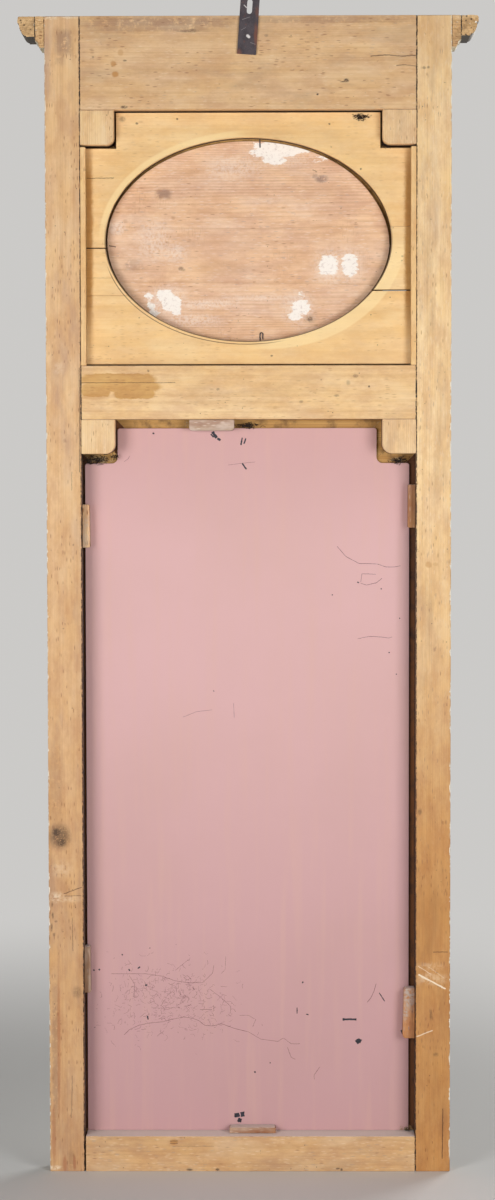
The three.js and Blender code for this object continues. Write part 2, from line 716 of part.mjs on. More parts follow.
function screw(up, turn) {
  const tip = headTop + SCREW_L;
  const turned = countersunk(headTop, 0, (shankR) => [[shankR, tip - SCREW_POINT_L], [0, tip]]);
  const half = SCREW_HEAD_D;
  const slot = box(-SCREW_SLOT_W / 2, SCREW_SLOT_W / 2, headTop - 1, headTop + SCREW_SLOT_DEEP, -half, half);
  return cut(turned, [slot.rotateY(turn)]).translate(0, 0, up);
}

const strap = cut(plate(strapShape(), strapRear, strapFront), screwHeights.map(strapHole));
addPiece('hanging_strap', strap, 'iron', hanger);
screwHeights.forEach((up, i) => {
  addPiece(`hanger_screw_${i + 1}`, screw(up, 0.4 + 1.3 * i), 'iron', hanger);
});

export default trumeau;
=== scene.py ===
# A trumeau mirror seen from behind: the bare back of its pine frame, the oval board and the pink mirror back.
# Metres, +X right as seen from behind, +Y out of the front, +Z up. Sizes of marks are in millimetres.
import math
import random

import bmesh
import bpy
from mathutils import Matrix, Vector, noise


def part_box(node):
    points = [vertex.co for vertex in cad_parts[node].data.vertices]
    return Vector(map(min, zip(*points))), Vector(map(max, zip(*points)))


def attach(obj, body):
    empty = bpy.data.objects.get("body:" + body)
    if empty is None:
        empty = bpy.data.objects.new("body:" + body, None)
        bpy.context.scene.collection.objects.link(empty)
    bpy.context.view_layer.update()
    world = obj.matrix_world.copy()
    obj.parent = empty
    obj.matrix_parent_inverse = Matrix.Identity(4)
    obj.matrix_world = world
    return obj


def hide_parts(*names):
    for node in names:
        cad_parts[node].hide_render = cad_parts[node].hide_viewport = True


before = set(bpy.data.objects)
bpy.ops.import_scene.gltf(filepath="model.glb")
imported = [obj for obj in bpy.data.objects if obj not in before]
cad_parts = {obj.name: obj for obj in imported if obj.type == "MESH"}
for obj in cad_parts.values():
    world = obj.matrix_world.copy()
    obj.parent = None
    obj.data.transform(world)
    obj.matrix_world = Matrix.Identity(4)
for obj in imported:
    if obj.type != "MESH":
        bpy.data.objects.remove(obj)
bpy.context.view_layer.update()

# ---- Camera ----
# It stands behind the mirror, 4.3 m off and a little above the middle of the frame, and looks very
# slightly down, so the undersides of the upper rails and the top of the bottom rail just show.
CAMERA_PLACE = (0.0343, -4.3004, 1.1603)
CAMERA_YAW = math.radians(0.49)
CAMERA_PITCH = math.radians(-2.82)
CAMERA_ROLL = math.radians(0.10)

camera_data = bpy.data.cameras.new("camera")
camera_data.sensor_fit = "VERTICAL"
camera_data.sensor_height = 36
camera_data.lens = 78.26
camera = bpy.data.objects.new("camera", camera_data)
bpy.context.collection.objects.link(camera)
aim = (
    Matrix.Rotation(CAMERA_YAW, 4, "Z")
    @ Matrix.Rotation(CAMERA_PITCH, 4, "X")
    @ Matrix.Rotation(CAMERA_ROLL, 4, "Y")
)
level = Matrix.Rotation(math.radians(90), 4, "X")
camera.matrix_world = Matrix.Translation(CAMERA_PLACE) @ aim @ level
bpy.context.scene.camera = camera
bpy.context.scene.view_settings.view_transform = "Standard"

# ---- Studio ----
# Two large softboxes stand behind the mirror, one each side, and a weaker one in front of it.
# The floor is plain and pale, and fades into the background away from the object.
BACKGROUND = (0.60, 0.59, 0.575, 1)
FLOOR = (0.66, 0.65, 0.63, 1)
AMBIENT = 0.09
LAMP_TARGET = Vector((0, 0, 1.05))
SOFTBOXES = [
    ("softbox_left", (-1.55, -2.36, 1.10), 1.15, 41),
    ("softbox_right", (1.55, -2.36, 1.10), 1.15, 41),
    ("softbox_front", (2.1, 2.7, 1.7), 1.6, 66),
]


def plug(socket, value):
    """Links an output to the socket, or sets the socket's own value."""
    if isinstance(value, bpy.types.NodeSocket):
        socket.id_data.links.new(value, socket)
    else:
        socket.default_value = value


def tree_of(*values):
    """The node tree that the sockets among the values belong to."""
    return next(value.id_data for value in values if isinstance(value, bpy.types.NodeSocket))


def add(tree, kind, sockets=None, **settings):
    """Adds a shader node, makes its settings, then sets or links the sockets named."""
    made = tree.nodes.new("ShaderNode" + kind)
    for name, value in settings.items():
        setattr(made, name, value)
    for name, value in (sockets or {}).items():
        plug(made.inputs[name], value)
    return made


def maths(operation, first, second=0.0):
    """The result of one operation on two numbers; at least one of them is a socket."""
    made = tree_of(first, second).nodes.new("ShaderNodeMath")
    made.operation = operation
    plug(made.inputs[0], first)
    plug(made.inputs[1], second)
    return made.outputs[0]


def plus(first, second):
    return maths("ADD", first, second)


def minus(first, second):
    return maths("SUBTRACT", first, second)


def times(first, second):
    return maths("MULTIPLY", first, second)


def larger(first, second):
    return maths("MAXIMUM", first, second)


def vectors(operation, first, second=(0, 0, 0), third=(0, 0, 0)):
    made = tree_of(first, second, third).nodes.new("ShaderNodeVectorMath")
    made.operation = operation
    plug(made.inputs[0], first)
    plug(made.inputs[1], second)
    plug(made.inputs[2], third)
    return made.outputs["Value" if operation in ("LENGTH", "DOT_PRODUCT") else "Vector"]


def scaled(vector, amount):
    made = tree_of(vector, amount).nodes.new("ShaderNodeVectorMath")
    made.operation = "SCALE"
    plug(made.inputs[0], vector)
    plug(made.inputs["Scale"], amount)
    return made.outputs["Vector"]


def fade(value, start, end):
    """0 up to start, 1 from end, and smooth between."""
    sockets = {"Value": value, "From Min": start, "From Max": end}
    return add(tree_of(value), "MapRange", sockets, interpolation_type="SMOOTHSTEP").outputs["Result"]


def background_rays(tree):
    """1 for the rays that should see the plain background: camera, glossy and transmission."""
    path = add(tree, "LightPath").outputs
    seen = larger(path["Is Camera Ray"], path["Is Glossy Ray"])
    return larger(seen, path["Is Transmission Ray"])


world = bpy.data.worlds.new("studio")
world.use_nodes = True
bpy.context.scene.world = world
sky = world.node_tree
sky.nodes.clear()
ambient = add(sky, "Background", {"Color": (1, 1, 1, 1), "Strength": AMBIENT})
backdrop = add(sky, "Background", {"Color": BACKGROUND, "Strength": 1})
either = add(sky, "MixShader", {"Fac": background_rays(sky)})
sky.links.new(ambient.outputs[0], either.inputs[1])
sky.links.new(backdrop.outputs[0], either.inputs[2])
sky.links.new(either.outputs[0], add(sky, "OutputWorld").inputs["Surface"])

for name, place, size, power in SOFTBOXES:
    lamp = bpy.data.lights.new(name, "AREA")
    lamp.size = size
    lamp.energy = power
    softbox = bpy.data.objects.new(name, lamp)
    softbox.location = place
    softbox.rotation_euler = (LAMP_TARGET - Vector(place)).to_track_quat("-Z", "Y").to_euler()
    bpy.context.collection.objects.link(softbox)

floor_mesh = bpy.data.meshes.new("floor")
bm = bmesh.new()
bmesh.ops.create_circle(bm, cap_ends=True, segments=96, radius=16)
bm.to_mesh(floor_mesh)
bm.free()
floor = bpy.data.objects.new("floor", floor_mesh)
bpy.context.collection.objects.link(floor)
floor_material = bpy.data.materials.new("pale_floor")
floor_material.use_nodes = True
tree = floor_material.node_tree
surface = tree.nodes["Principled BSDF"]
surface.inputs["Base Color"].default_value = FLOOR
surface.inputs["Roughness"].default_value = 0.7
place = add(tree, "TexCoord").outputs["Object"]
far_off = fade(vectors("LENGTH", place), 0.7, 2.6)
glow = add(tree, "Emission", {"Color": BACKGROUND, "Strength": 1})
blend = add(tree, "MixShader", {"Fac": times(far_off, background_rays(tree))})
tree.links.new(surface.outputs[0], blend.inputs[1])
tree.links.new(glow.outputs[0], blend.inputs[2])
tree.links.new(blend.outputs[0], tree.nodes["Material Output"].inputs["Surface"])
floor_mesh.materials.append(floor_material)

# ---- Stiles and rails ----
# Five lengths of pine joined with mortises and tenons. The backs are bare, planed by hand and stained
# with age; the front and the outer sides are gessoed and painted cream, with the arrises chipped.
MM = 0.001
STILE_OUTER = 331.5
STILE_INNER = 274.5
FRAME_TOP = 1900
REAR = -22.5
FRONT = 22.5
SMOOTH_BELOW = 14  # degrees
SHARP_FROM = 0.6  # radians
TOP_RAIL_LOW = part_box("top_rail")[0].z / MM
MID_RAIL_LOW, MID_RAIL_HIGH = (corner.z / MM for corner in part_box("mid_rail"))


def srgb(code):
    """A colour written as #RRGGBB, as the linear values that a shader takes."""
    parts = [int(code[i:i + 2], 16) / 255 for i in (1, 3, 5)]
    linear = [part / 12.92 if part <= 0.04045 else ((part + 0.055) / 1.055) ** 2.4 for part in parts]
    return (*linear, 1)


def tint(amount, first, second, how="MIX"):
    """Two colours, sockets or codes, mixed by an amount from 0 to 1."""
    made = tree_of(amount).nodes.new("ShaderNodeMix")
    made.data_type = "RGBA"
    made.blend_type = how
    plug(made.inputs[0], amount)
    for socket, colour in ((6, first), (7, second)):
        plug(made.inputs[socket], srgb(colour) if isinstance(colour, str) else colour)
    return made.outputs[2]


def cloud(position, sizes, detail=3.0, roughness=0.5):
    """Soft noise whose blobs are about that many millimetres long in X, Y and Z."""
    sockets = {"Vector": vectors("DIVIDE", position, sizes), "Scale": 1.0, "Detail": detail,
               "Roughness": roughness}
    return add(position.id_data, "TexNoise", sockets).outputs


def parts_of(vector):
    """The X, Y and Z of a vector."""
    return add(vector.id_data, "SeparateXYZ", {"Vector": vector}).outputs


def channels(colour):
    """The red, green and blue of a colour."""
    return add(colour.id_data, "SeparateColor", {"Color": colour}).outputs


def new_group(name, given, returned):
    """An empty shader group with named inputs (kind and value) and outputs (kind)."""
    group = bpy.data.node_groups.new(name, "ShaderNodeTree")
    for socket, (kind, value) in given.items():
        made = group.interface.new_socket(name=socket, in_out="INPUT", socket_type="NodeSocket" + kind)
        made.default_value = value
    for socket, kind in returned.items():
        group.interface.new_socket(name=socket, in_out="OUTPUT", socket_type="NodeSocket" + kind)
    inside = group.nodes.new("NodeGroupInput").outputs
    outside = group.nodes.new("NodeGroupOutput").inputs
    return group, inside, outside


def use(group, **sockets):
    """Places a group; an input such as Ring Width is written ring_width."""
    placed = sockets["position"].id_data.nodes.new("ShaderNodeGroup")
    placed.node_tree = group
    for name, value in sockets.items():
        plug(placed.inputs[name.replace("_", " ").title()], value)
    return placed.outputs


# Growth rings round a heart that runs along X, with the fibres and the broader figure of a sawn board
grain, given, out = new_group(
    "pine_grain",
    {"Position": ("Vector", (0, 0, 0)), "Ring Width": ("Float", 3.0), "Wander": ("Float", 12.0)},
    {"Late Wood": "Float", "Fibre": "Float", "Figure": "Float"},
)
bend = cloud(given["Position"], (700, 90, 90), 2)["Color"]
bend = scaled(vectors("SUBTRACT", bend, (0.5, 0.5, 0.5)), given["Wander"])
across = vectors("MULTIPLY", vectors("ADD", given["Position"], bend), (0, 1, 1))
rings = maths("DIVIDE", vectors("LENGTH", across), given["Ring Width"])
age = maths("FRACT", rings)
late = times(fade(age, 0.25, 0.92), fade(age, 1.0, 0.93))
year = add(grain, "TexWhiteNoise", {"W": maths("FLOOR", rings)}, noise_dimensions="1D").outputs["Value"]
strength = plus(0.2, times(year, 0.8))
plug(out["Late Wood"], times(late, strength))
plug(out["Fibre"], cloud(given["Position"], (80, 1.8, 1.8), 4, 0.65)["Fac"])
plug(out["Figure"], cloud(given["Position"], (420, 13, 13), 3, 0.55)["Fac"])

# What age leaves on bare wood: mottling, short flecks along the grain, and specks that come in swarms
worn_wood, given, out = new_group(
    "worn_wood",
    {"Position": ("Vector", (0, 0, 0))},
    {"Mottle": "Float", "Warmth": "Float", "Hatch": "Float", "Specks": "Float", "Dark Flecks": "Float",
     "Pale Flecks": "Float"},
)
mottle = cloud(given["Position"], (60, 26, 24), 8, 0.75)["Fac"]
plug(out["Mottle"], fade(mottle, 0.36, 0.66))
warmth = cloud(vectors("ADD", given["Position"], (90, 400, 30)), (90, 40, 40), 6, 0.7)["Fac"]
plug(out["Warmth"], fade(warmth, 0.36, 0.66))
swarm = cloud(given["Position"], (60, 60, 60), 3, 0.6)
hatch = cloud(given["Position"], (1.6, 9, 9), 2, 0.6)["Fac"]
local = fade(channels(swarm["Color"])[2], 0.54, 0.7)
plug(out["Hatch"], times(fade(hatch, 0.5, 0.7), local))
found = add(worn_wood, "TexVoronoi", {"Vector": scaled(given["Position"], 1 / 10), "Scale": 1.0}).outputs
dice = channels(found["Color"])
crowd = fade(swarm["Fac"], 0.38, 0.7)
picked = maths("LESS_THAN", dice[0], times(crowd, 0.45))
speck = plus(0.05, times(dice[1], 0.09))
speck = fade(found["Distance"], speck, times(speck, 0.5))
plug(out["Specks"], times(speck, picked))
cells = vectors("DIVIDE", given["Position"], (13, 2.8, 2.8))
found = add(worn_wood, "TexVoronoi", {"Vector": cells, "Scale": 1.0}).outputs
dice = channels(found["Color"])
fleck = fade(found["Distance"], 0.42, 0.12)
dark_ones = maths("LESS_THAN", dice[0], times(crowd, 0.5))
pale_ones = maths("GREATER_THAN", dice[1], 0.72)
plug(out["Dark Flecks"], times(fleck, dark_ones))
plug(out["Pale Flecks"], times(fleck, pale_ones))

# One soft-edged mark: a knot, stain or smear, round or squarish, measured on the face
blot, given, out = new_group(
    "blot",
    {"Position": ("Vector", (0, 0, 0)), "Centre": ("Vector", (0, 0, 0)), "Reach": ("Vector", (1, 1, 1)),
     "Square": ("Float", 0.0), "Softness": ("Float", 0.3)},
    {"Mask": "Float"},
)
off = vectors("DIVIDE", vectors("SUBTRACT", given["Position"], given["Centre"]), given["Reach"])
off = vectors("ABSOLUTE", vectors("MULTIPLY", off, (1, 0, 1)))
parts = parts_of(off)
boxy = larger(parts["X"], parts["Z"])
round_off = vectors("LENGTH", off)
gap = times(minus(boxy, round_off), given["Square"])
reached = plus(round_off, gap)
edge = plus(1.0, given["Softness"])
plug(out["Mask"], fade(reached, edge, minus(1.0, given["Softness"])))

# One line between two points on the face: a crack, scratch or scribed line
line, given, out = new_group(
    "line",
    {"Position": ("Vector", (0, 0, 0)), "Start": ("Vector", (0, 0, 0)), "End": ("Vector", (1, 0, 0)),
     "Width": ("Float", 1.0)},
    {"Mask": "Float"},
)
run = vectors("SUBTRACT", given["End"], given["Start"])
away = vectors("MULTIPLY", vectors("SUBTRACT", given["Position"], given["Start"]), (1, 0, 1))
share = maths("DIVIDE", vectors("DOT_PRODUCT", away, run), vectors("DOT_PRODUCT", run, run))
share = add(line, "Clamp", {"Value": share}).outputs["Result"]
distance = vectors("LENGTH", vectors("SUBTRACT", away, scaled(run, share)))
plug(out["Mask"], fade(distance, given["Width"], times(given["Width"], 0.35)))

# How far outside an upright ellipse a point of the face lies, in millimetres
outside_oval, given, out = new_group(
    "outside_oval",
    {"Position": ("Vector", (0, 0, 0)), "Centre": ("Vector", (0, 0, 0)), "Reach": ("Vector", (1, 1, 1))},
    {"Off": "Float"},
)
away = vectors("SUBTRACT", given["Position"], given["Centre"])
away = vectors("MULTIPLY", away, (1, 0, 1))
share = vectors("LENGTH", vectors("DIVIDE", away, given["Reach"]))
radius = maths("DIVIDE", vectors("LENGTH", away), share)
plug(out["Off"], times(minus(share, 1.0), radius))

# Small round holes scattered over the surface: one in each cell that chance picks
holes, given, out = new_group(
    "holes",
    {"Position": ("Vector", (0, 0, 0)), "Spacing": ("Float", 40.0), "Radius": ("Float", 0.8),
     "Share": ("Float", 0.3)},
    {"Mask": "Float"},
)
cells = scaled(given["Position"], maths("DIVIDE", 1.0, given["Spacing"]))
found = add(holes, "TexVoronoi", {"Vector": cells, "Scale": 1.0}).outputs
size = maths("DIVIDE", given["Radius"], given["Spacing"])
picked = maths("LESS_THAN", channels(found["Color"])[0], given["Share"])
pit = fade(found["Distance"], size, times(size, 0.5))
plug(out["Mask"], times(pit, picked))

# Old paint: dirt in patches, a fine net of cracks, and places where it has worn off
old_paint, given, out = new_group(
    "old_paint",
    {"Position": ("Vector", (0, 0, 0)), "Cell": ("Float", 14.0)},
    {"Dirt": "Float", "Crack": "Float", "Worn": "Float"},
)
plug(out["Dirt"], cloud(given["Position"], (60, 60, 60), 5, 0.6)["Fac"])
wobble = cloud(given["Position"], (9, 9, 9), 2)["Color"]
wobbly = vectors("ADD", given["Position"], vectors("MULTIPLY", wobble, (5, 5, 5)))
cells = scaled(wobbly, maths("DIVIDE", 1.0, given["Cell"]))
net = add(old_paint, "TexVoronoi", {"Vector": cells, "Scale": 1.0},
          feature="DISTANCE_TO_EDGE").outputs["Distance"]
plug(out["Crack"], fade(net, 0.035, 0.008))
chipping = cloud(given["Position"], (22, 22, 22), 6, 0.65)["Fac"]
plug(out["Worn"], fade(chipping, 0.60, 0.64))


def strongest(masks):
    """The largest of several masks, each already times its strength."""
    total = 0.0
    for mask in masks:
        total = larger(mask, total)
    return total


def blots(position, places, square=0.0, softness=0.3):
    """Marks at (x, z, half width, half height, strength), in millimetres."""
    return strongest([
        times(use(blot, position=position, centre=(x, 0, z), reach=(wide, 1, high), square=square,
                  softness=softness)["Mask"], strength)
        for x, z, wide, high, strength in places
    ])


def patchy(position, mask, size=3.5, start=0.36, end=0.58):
    """A mask with its edges and middle broken up by fine noise."""
    specked = cloud(position, (size, size, size), 6, 0.72)["Fac"]
    return times(mask, fade(specked, start, end))


def lines(position, runs):
    """Lines (x, z, x, z, width, strength), in millimetres."""
    return strongest([
        times(use(line, position=position, start=(x0, 0, z0), end=(x1, 0, z1), width=width)["Mask"], strength)
        for x0, z0, x1, z1, width, strength in runs
    ])


def ragged(position, size, reach):
    """The position shaken by noise, which makes the edges of marks uneven."""
    shake = vectors("SUBTRACT", cloud(position, (size, size, size), 3, 0.6)["Color"], (0.5, 0.5, 0.5))
    return vectors("ADD", position, vectors("MULTIPLY", shake, (reach, reach, reach)))


def start_material(name):
    """A new material, its tree, its shader and the position on the object in millimetres."""
    material = bpy.data.materials.new(name)
    material.use_nodes = True
    tree = material.node_tree
    place = add(tree, "TexCoord").outputs["Object"]
    position = vectors("MULTIPLY", place, (1 / MM, 1 / MM, 1 / MM))
    return material, tree, tree.nodes["Principled BSDF"].inputs, position


def grain_turn(along):
    """The turn that lays the grain's own X along the piece."""
    return {"X": (0, 0, 0), "Z": (0, math.radians(90), 0)}[along]


PINE = {"pale": "#E6C398", "deep": "#CDA26C", "late": "#B98A55", "grime": "#A08672", "chalk": "#F0DBBB"}


def pine(name, along, heart, look=PINE, ring=3.0, wander=12.0, grime=0.5, late=0.35, rub=0.2, fibre=0.25,
         mottled=0.55, flecked=0.6, hatched=0.0, stains=(), spots=(), knots=(), smears=(), gesso=(),
         cracks=(), scratches=(), seam=None, holed=0.12, foot=0.0, coat="frame", dirt=(-12, 10),
         dust=0.7, oval=None):
    """Bare old pine behind, with its own marks and painted shade further in, and cream paint in front."""
    material, tree, shader, position = start_material(name)
    turned = add(tree, "Mapping", {"Vector": position, "Location": heart, "Rotation": grain_turn(along)})
    wood = use(grain, position=turned.outputs[0], ring_width=ring, wander=wander)
    xyz = parts_of(position)
    loose = ragged(position, 9, 7)
    tight = ragged(position, 5, 2.2)

    age = use(worn_wood, position=turned.outputs[0])
    figured = times(fade(wood["Figure"], 0.28, 0.78), 0.5)
    colour = tint(figured, look["pale"], look["deep"])
    colour = tint(times(wood["Late Wood"], late), colour, look["late"])
    colour = tint(times(age["Mottle"], mottled), colour, "#D9C2BC", "MULTIPLY")
    colour = tint(times(age["Warmth"], 0.5), colour, "#FFF4D8", "MULTIPLY")
    colour = tint(times(age["Hatch"], hatched), colour, "#B99C86", "MULTIPLY")
    colour = tint(times(fade(wood["Fibre"], 0.45, 0.75), fibre), colour, look["late"])
    colour = tint(times(age["Dark Flecks"], flecked), colour, "#A98062", "MULTIPLY")
    colour = tint(times(age["Pale Flecks"], flecked * 0.5), colour, look["chalk"])
    stretch = (110, 40, 36) if along == "X" else (26, 40, 130)
    patches = cloud(position, stretch, 5, 0.6)["Fac"]
    colour = tint(times(fade(patches, 0.48, 0.75), grime), colour, look["grime"])
    rubbed = cloud(vectors("ADD", position, (300, 70, 500)), stretch, 4, 0.6)["Fac"]
    colour = tint(times(fade(rubbed, 0.5, 0.74), rub), colour, look["chalk"])
    if foot:
        low = times(fade(xyz["Z"], 1220, 420), foot)
        colour = tint(low, colour, "#CFAE86", "MULTIPLY")
    if stains:
        edge, evenness = look.get("stain edge", (0.5, 0.34))
        stained = patchy(position, blots(loose, stains, 0.6, edge), 9, evenness, evenness + 0.16)
        colour = tint(stained, colour, look.get("stain", "#C4BEC8"), "MULTIPLY")
    if spots:
        colour = tint(blots(tight, spots, 0.0, 0.35), colour, look.get("spot", "#B9803F"))
    if smears:
        scraped = patchy(position, blots(loose, smears, 0.2, 0.7), 5)
        colour = tint(scraped, colour, look["chalk"])
    if gesso:
        streaky = cloud(position, (13, 9, 5), 8, 0.74)["Fac"]
        torn = times(minus(streaky, 0.5), 1.5)
        stuck = plus(blots(position, gesso, 0.35, 0.75), torn)
        stuck = fade(stuck, 0.44, 0.56)
        chalky = tint(fade(cloud(position, (7, 7, 5), 6, 0.7)["Fac"], 0.5, 0.72), "#FBF1E6", "#D9C6BC")
        colour = tint(stuck, colour, chalky)
    dark = "#2E1A10"
    if knots:
        colour = tint(patchy(position, blots(tight, knots, 0.0, 0.55), 2.6, 0.3, 0.5), colour, dark)
    if scratches:
        colour = tint(lines(tight, scratches), colour, "#F7E7CC")
    pits = use(holes, position=position, spacing=34.0, radius=1.0, share=holed)["Mask"]
    pocks = use(holes, position=loose, spacing=17.0, radius=1.6, share=0.10)["Mask"]
    sunk = strongest([pits, times(pocks, 0.35), times(age["Specks"], 0.6)])
    if cracks:
        sunk = larger(sunk, lines(tight, cracks))
    colour = tint(sunk, colour, dark)
    if seam:
        across = parts_of(ragged(position, 4, 1.8))["X"]
        off = maths("ABSOLUTE", minus(maths("ABSOLUTE", across), seam))
        broken = fade(cloud(position, (4, 4, 6), 4, 0.7)["Fac"], 0.38, 0.56)
        packed = times(fade(off, 1.7, 0.7), plus(0.12, broken))
        colour = tint(add(tree, "Clamp", {"Value": packed}).outputs[0], colour, "#24130B")
    if oval:
        centre_x, centre_z, reach_x, reach_z = oval
        off = use(outside_oval, position=position, centre=(centre_x, 0, centre_z),
                  reach=(reach_x, 1, reach_z))["Off"]
        lean = times(minus(xyz["Z"], centre_z), xyz["X"])
        wide = plus(8.0, times(fade(xyz["X"], -60, 160), 12.0))
        band = fade(off, plus(wide, 4.0), wide)
        band = times(band, fade(lean, 4000, -9000))
        colour = tint(times(band, 0.55), colour, "#FCE0A6")
        # A painted shadow line along the lower half of the opening's edge.
        edge = times(fade(off, 2.3, 0.9), fade(xyz["Z"], 1600, 1500))
        colour = tint(times(edge, 0.85), colour, "#4A2A10")
        scribed = use(outside_oval, position=position, centre=(centre_x - 3, 0, centre_z - 5),
                      reach=(reach_x, 1, reach_z))["Off"]
        scribed = times(fade(maths("ABSOLUTE", scribed), 1.1, 0.4),
                        times(fade(xyz["Z"], 1505, 1475), fade(xyz["X"], 70, 20)))
        colour = tint(times(scribed, 0.75), colour, "#5A3718")
    facing = parts_of(add(tree, "NewGeometry").outputs["Normal"])
    settled = times(fade(facing["Z"], 0.6, 0.95), dust)
    # Painted shade: bare faces that do not face the back darken further in, where the recess is in shade.
    painted_recess_shade = times(fade(xyz["Y"], *dirt), fade(facing["Y"], -0.6, -0.2))
    colour = tint(painted_recess_shade, colour, "#4A301E", "MULTIPLY")
    colour = tint(settled, colour, "#E2D6CE")

    height = plus(times(wood["Fibre"], 0.5), times(wood["Late Wood"], 0.5))
    height = minus(height, times(sunk, 3.0))
    rough = plus(0.55, times(patches, 0.25))

    if coat:
        paint = use(old_paint, position=position)
        edges = cloud(position, (5, 5, 12), 4, 0.7)["Fac"]
        from_front = plus(xyz["Y"], times(edges, 2.0))
        if coat == "frame":
            on_front = fade(from_front, FRONT - 0.6, FRONT + 0.2)
            outside = maths("ABSOLUTE", xyz["X"])
            chipping = cloud(position, (6, 6, 16), 5, 0.72)["Fac"]
            outside = plus(outside, times(fade(chipping, 0.46, 0.62), 2.3))
            on_side = fade(outside, STILE_OUTER + 0.1, STILE_OUTER + 0.6)
            bared_edge = times(on_side, fade(xyz["Y"], REAR + 4, REAR + 2))
            painted = larger(on_front, on_side)
        else:
            painted = fade(from_front, REAR + 3.2, REAR + 3.8)
        cream = tint(fade(paint["Dirt"], 0.35, 0.75), "#E4D9BE", "#B9A783")
        cream = tint(times(paint["Crack"], 0.6), cream, "#6B5637")
        cream = tint(paint["Worn"], cream, "#F1EBDD")
        colour = tint(painted, colour, cream)
        if coat == "frame":
            colour = tint(bared_edge, colour, "#EFE4D2")
        height = plus(height, times(painted, 1.5))
        height = minus(height, times(paint["Crack"], painted))

    plug(shader["Base Color"], colour)
    plug(shader["Roughness"], rough)
    bump = add(tree, "Bump", {"Height": height, "Strength": 0.6, "Distance": 0.0003})
    plug(shader["Normal"], bump.outputs[0])
    return material


def eased(bm, ease):
    """Rounds the sharp edges of a solid, leaving the facets of its curves."""
    sharp = [edge for edge in bm.edges if len(edge.link_faces) == 2 and edge.calc_face_angle() > SHARP_FROM]
    bmesh.ops.bevel(bm, geom=sharp, offset=ease, segments=2, profile=0.5, affect="EDGES",
                    clamp_overlap=True)


def worn(bm, along, step, wear, chips):
    """Cuts a solid into short lengths, then wears and chips its eased edges."""
    axis = "XYZ".index(along)
    low = min(v.co[axis] for v in bm.verts)
    high = max(v.co[axis] for v in bm.verts)
    normal = Vector([1.0 if i == axis else 0.0 for i in range(3)])
    for i in range(1, int((high - low) / step)):
        everything = bm.verts[:] + bm.edges[:] + bm.faces[:]
        bmesh.ops.bisect_plane(bm, geom=everything, dist=1e-6, plane_co=normal * (low + i * step),
                               plane_no=normal)
    bm.normal_update()
    for v in bm.verts:
        cornered = min(1.0, (1 - max(abs(part) for part in v.normal)) / 0.28)
        if cornered > 0.1:
            rub = max(0.0, noise.noise(v.co * 30) + 0.35) ** 2
            chip = max(0.0, noise.noise(v.co * 110 + Vector((7, 3, 1))) - 0.22) * 3
            v.co -= v.normal * cornered * (wear * rub + chips * chip)


def aged(bm, along, ease, step, wear, chips):
    """Eases, wears and chips the edges of a solid; the sizes are in millimetres."""
    eased(bm, ease * MM)
    worn(bm, along, step * MM, wear * MM, chips * MM)
    return bm


def set_piece(name, mesh, slot, *nodes):
    """Puts a finished mesh in place of the CAD nodes that it stands for."""
    mesh.polygons.foreach_set("use_smooth", [True] * len(mesh.polygons))
    mesh.set_sharp_from_angle(angle=math.radians(SMOOTH_BELOW))
    piece = bpy.data.objects.new(name, mesh)
    bpy.context.collection.objects.link(piece)
    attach(piece, "root")
    if nodes:
        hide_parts(*nodes)
    return piece


def make_piece(name, bm, material, slot, *nodes):
    """Turns a built solid into a finished piece."""
    mesh = bpy.data.meshes.new(name)
    bm.to_mesh(mesh)
    bm.free()
    mesh.materials.append(material)
    return set_piece(name, mesh, slot, *nodes)


def solid_of(node):
    """A copy of a CAD solid with its loose triangles joined and flat faces made whole."""
    bm = bmesh.new()
    bm.from_mesh(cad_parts[node].data)
    bmesh.ops.remove_doubles(bm, verts=bm.verts, dist=1e-6)
    bmesh.ops.dissolve_limit(bm, angle_limit=math.radians(1), verts=bm.verts, edges=bm.edges)
    return bm


PINK_PINE = {**PINE, "pale": "#E9C496", "deep": "#D3A775", "grime": "#A6857A"}
GOLD_PINE = {**PINE, "pale": "#F2D09E", "deep": "#DDB278", "grime": "#AA8B72"}
SUNNY_PINE = {**GOLD_PINE, "pale": "#F9DCAC", "deep": "#E8C088"}
VARNISHED = {**GOLD_PINE, "stain": "#E2D0A8", "stain edge": (0.08, 0.1)}
FOOT_PINE = {**PINE, "pale": "#DDB585", "deep": "#C79A64", "grime": "#9C8270"}

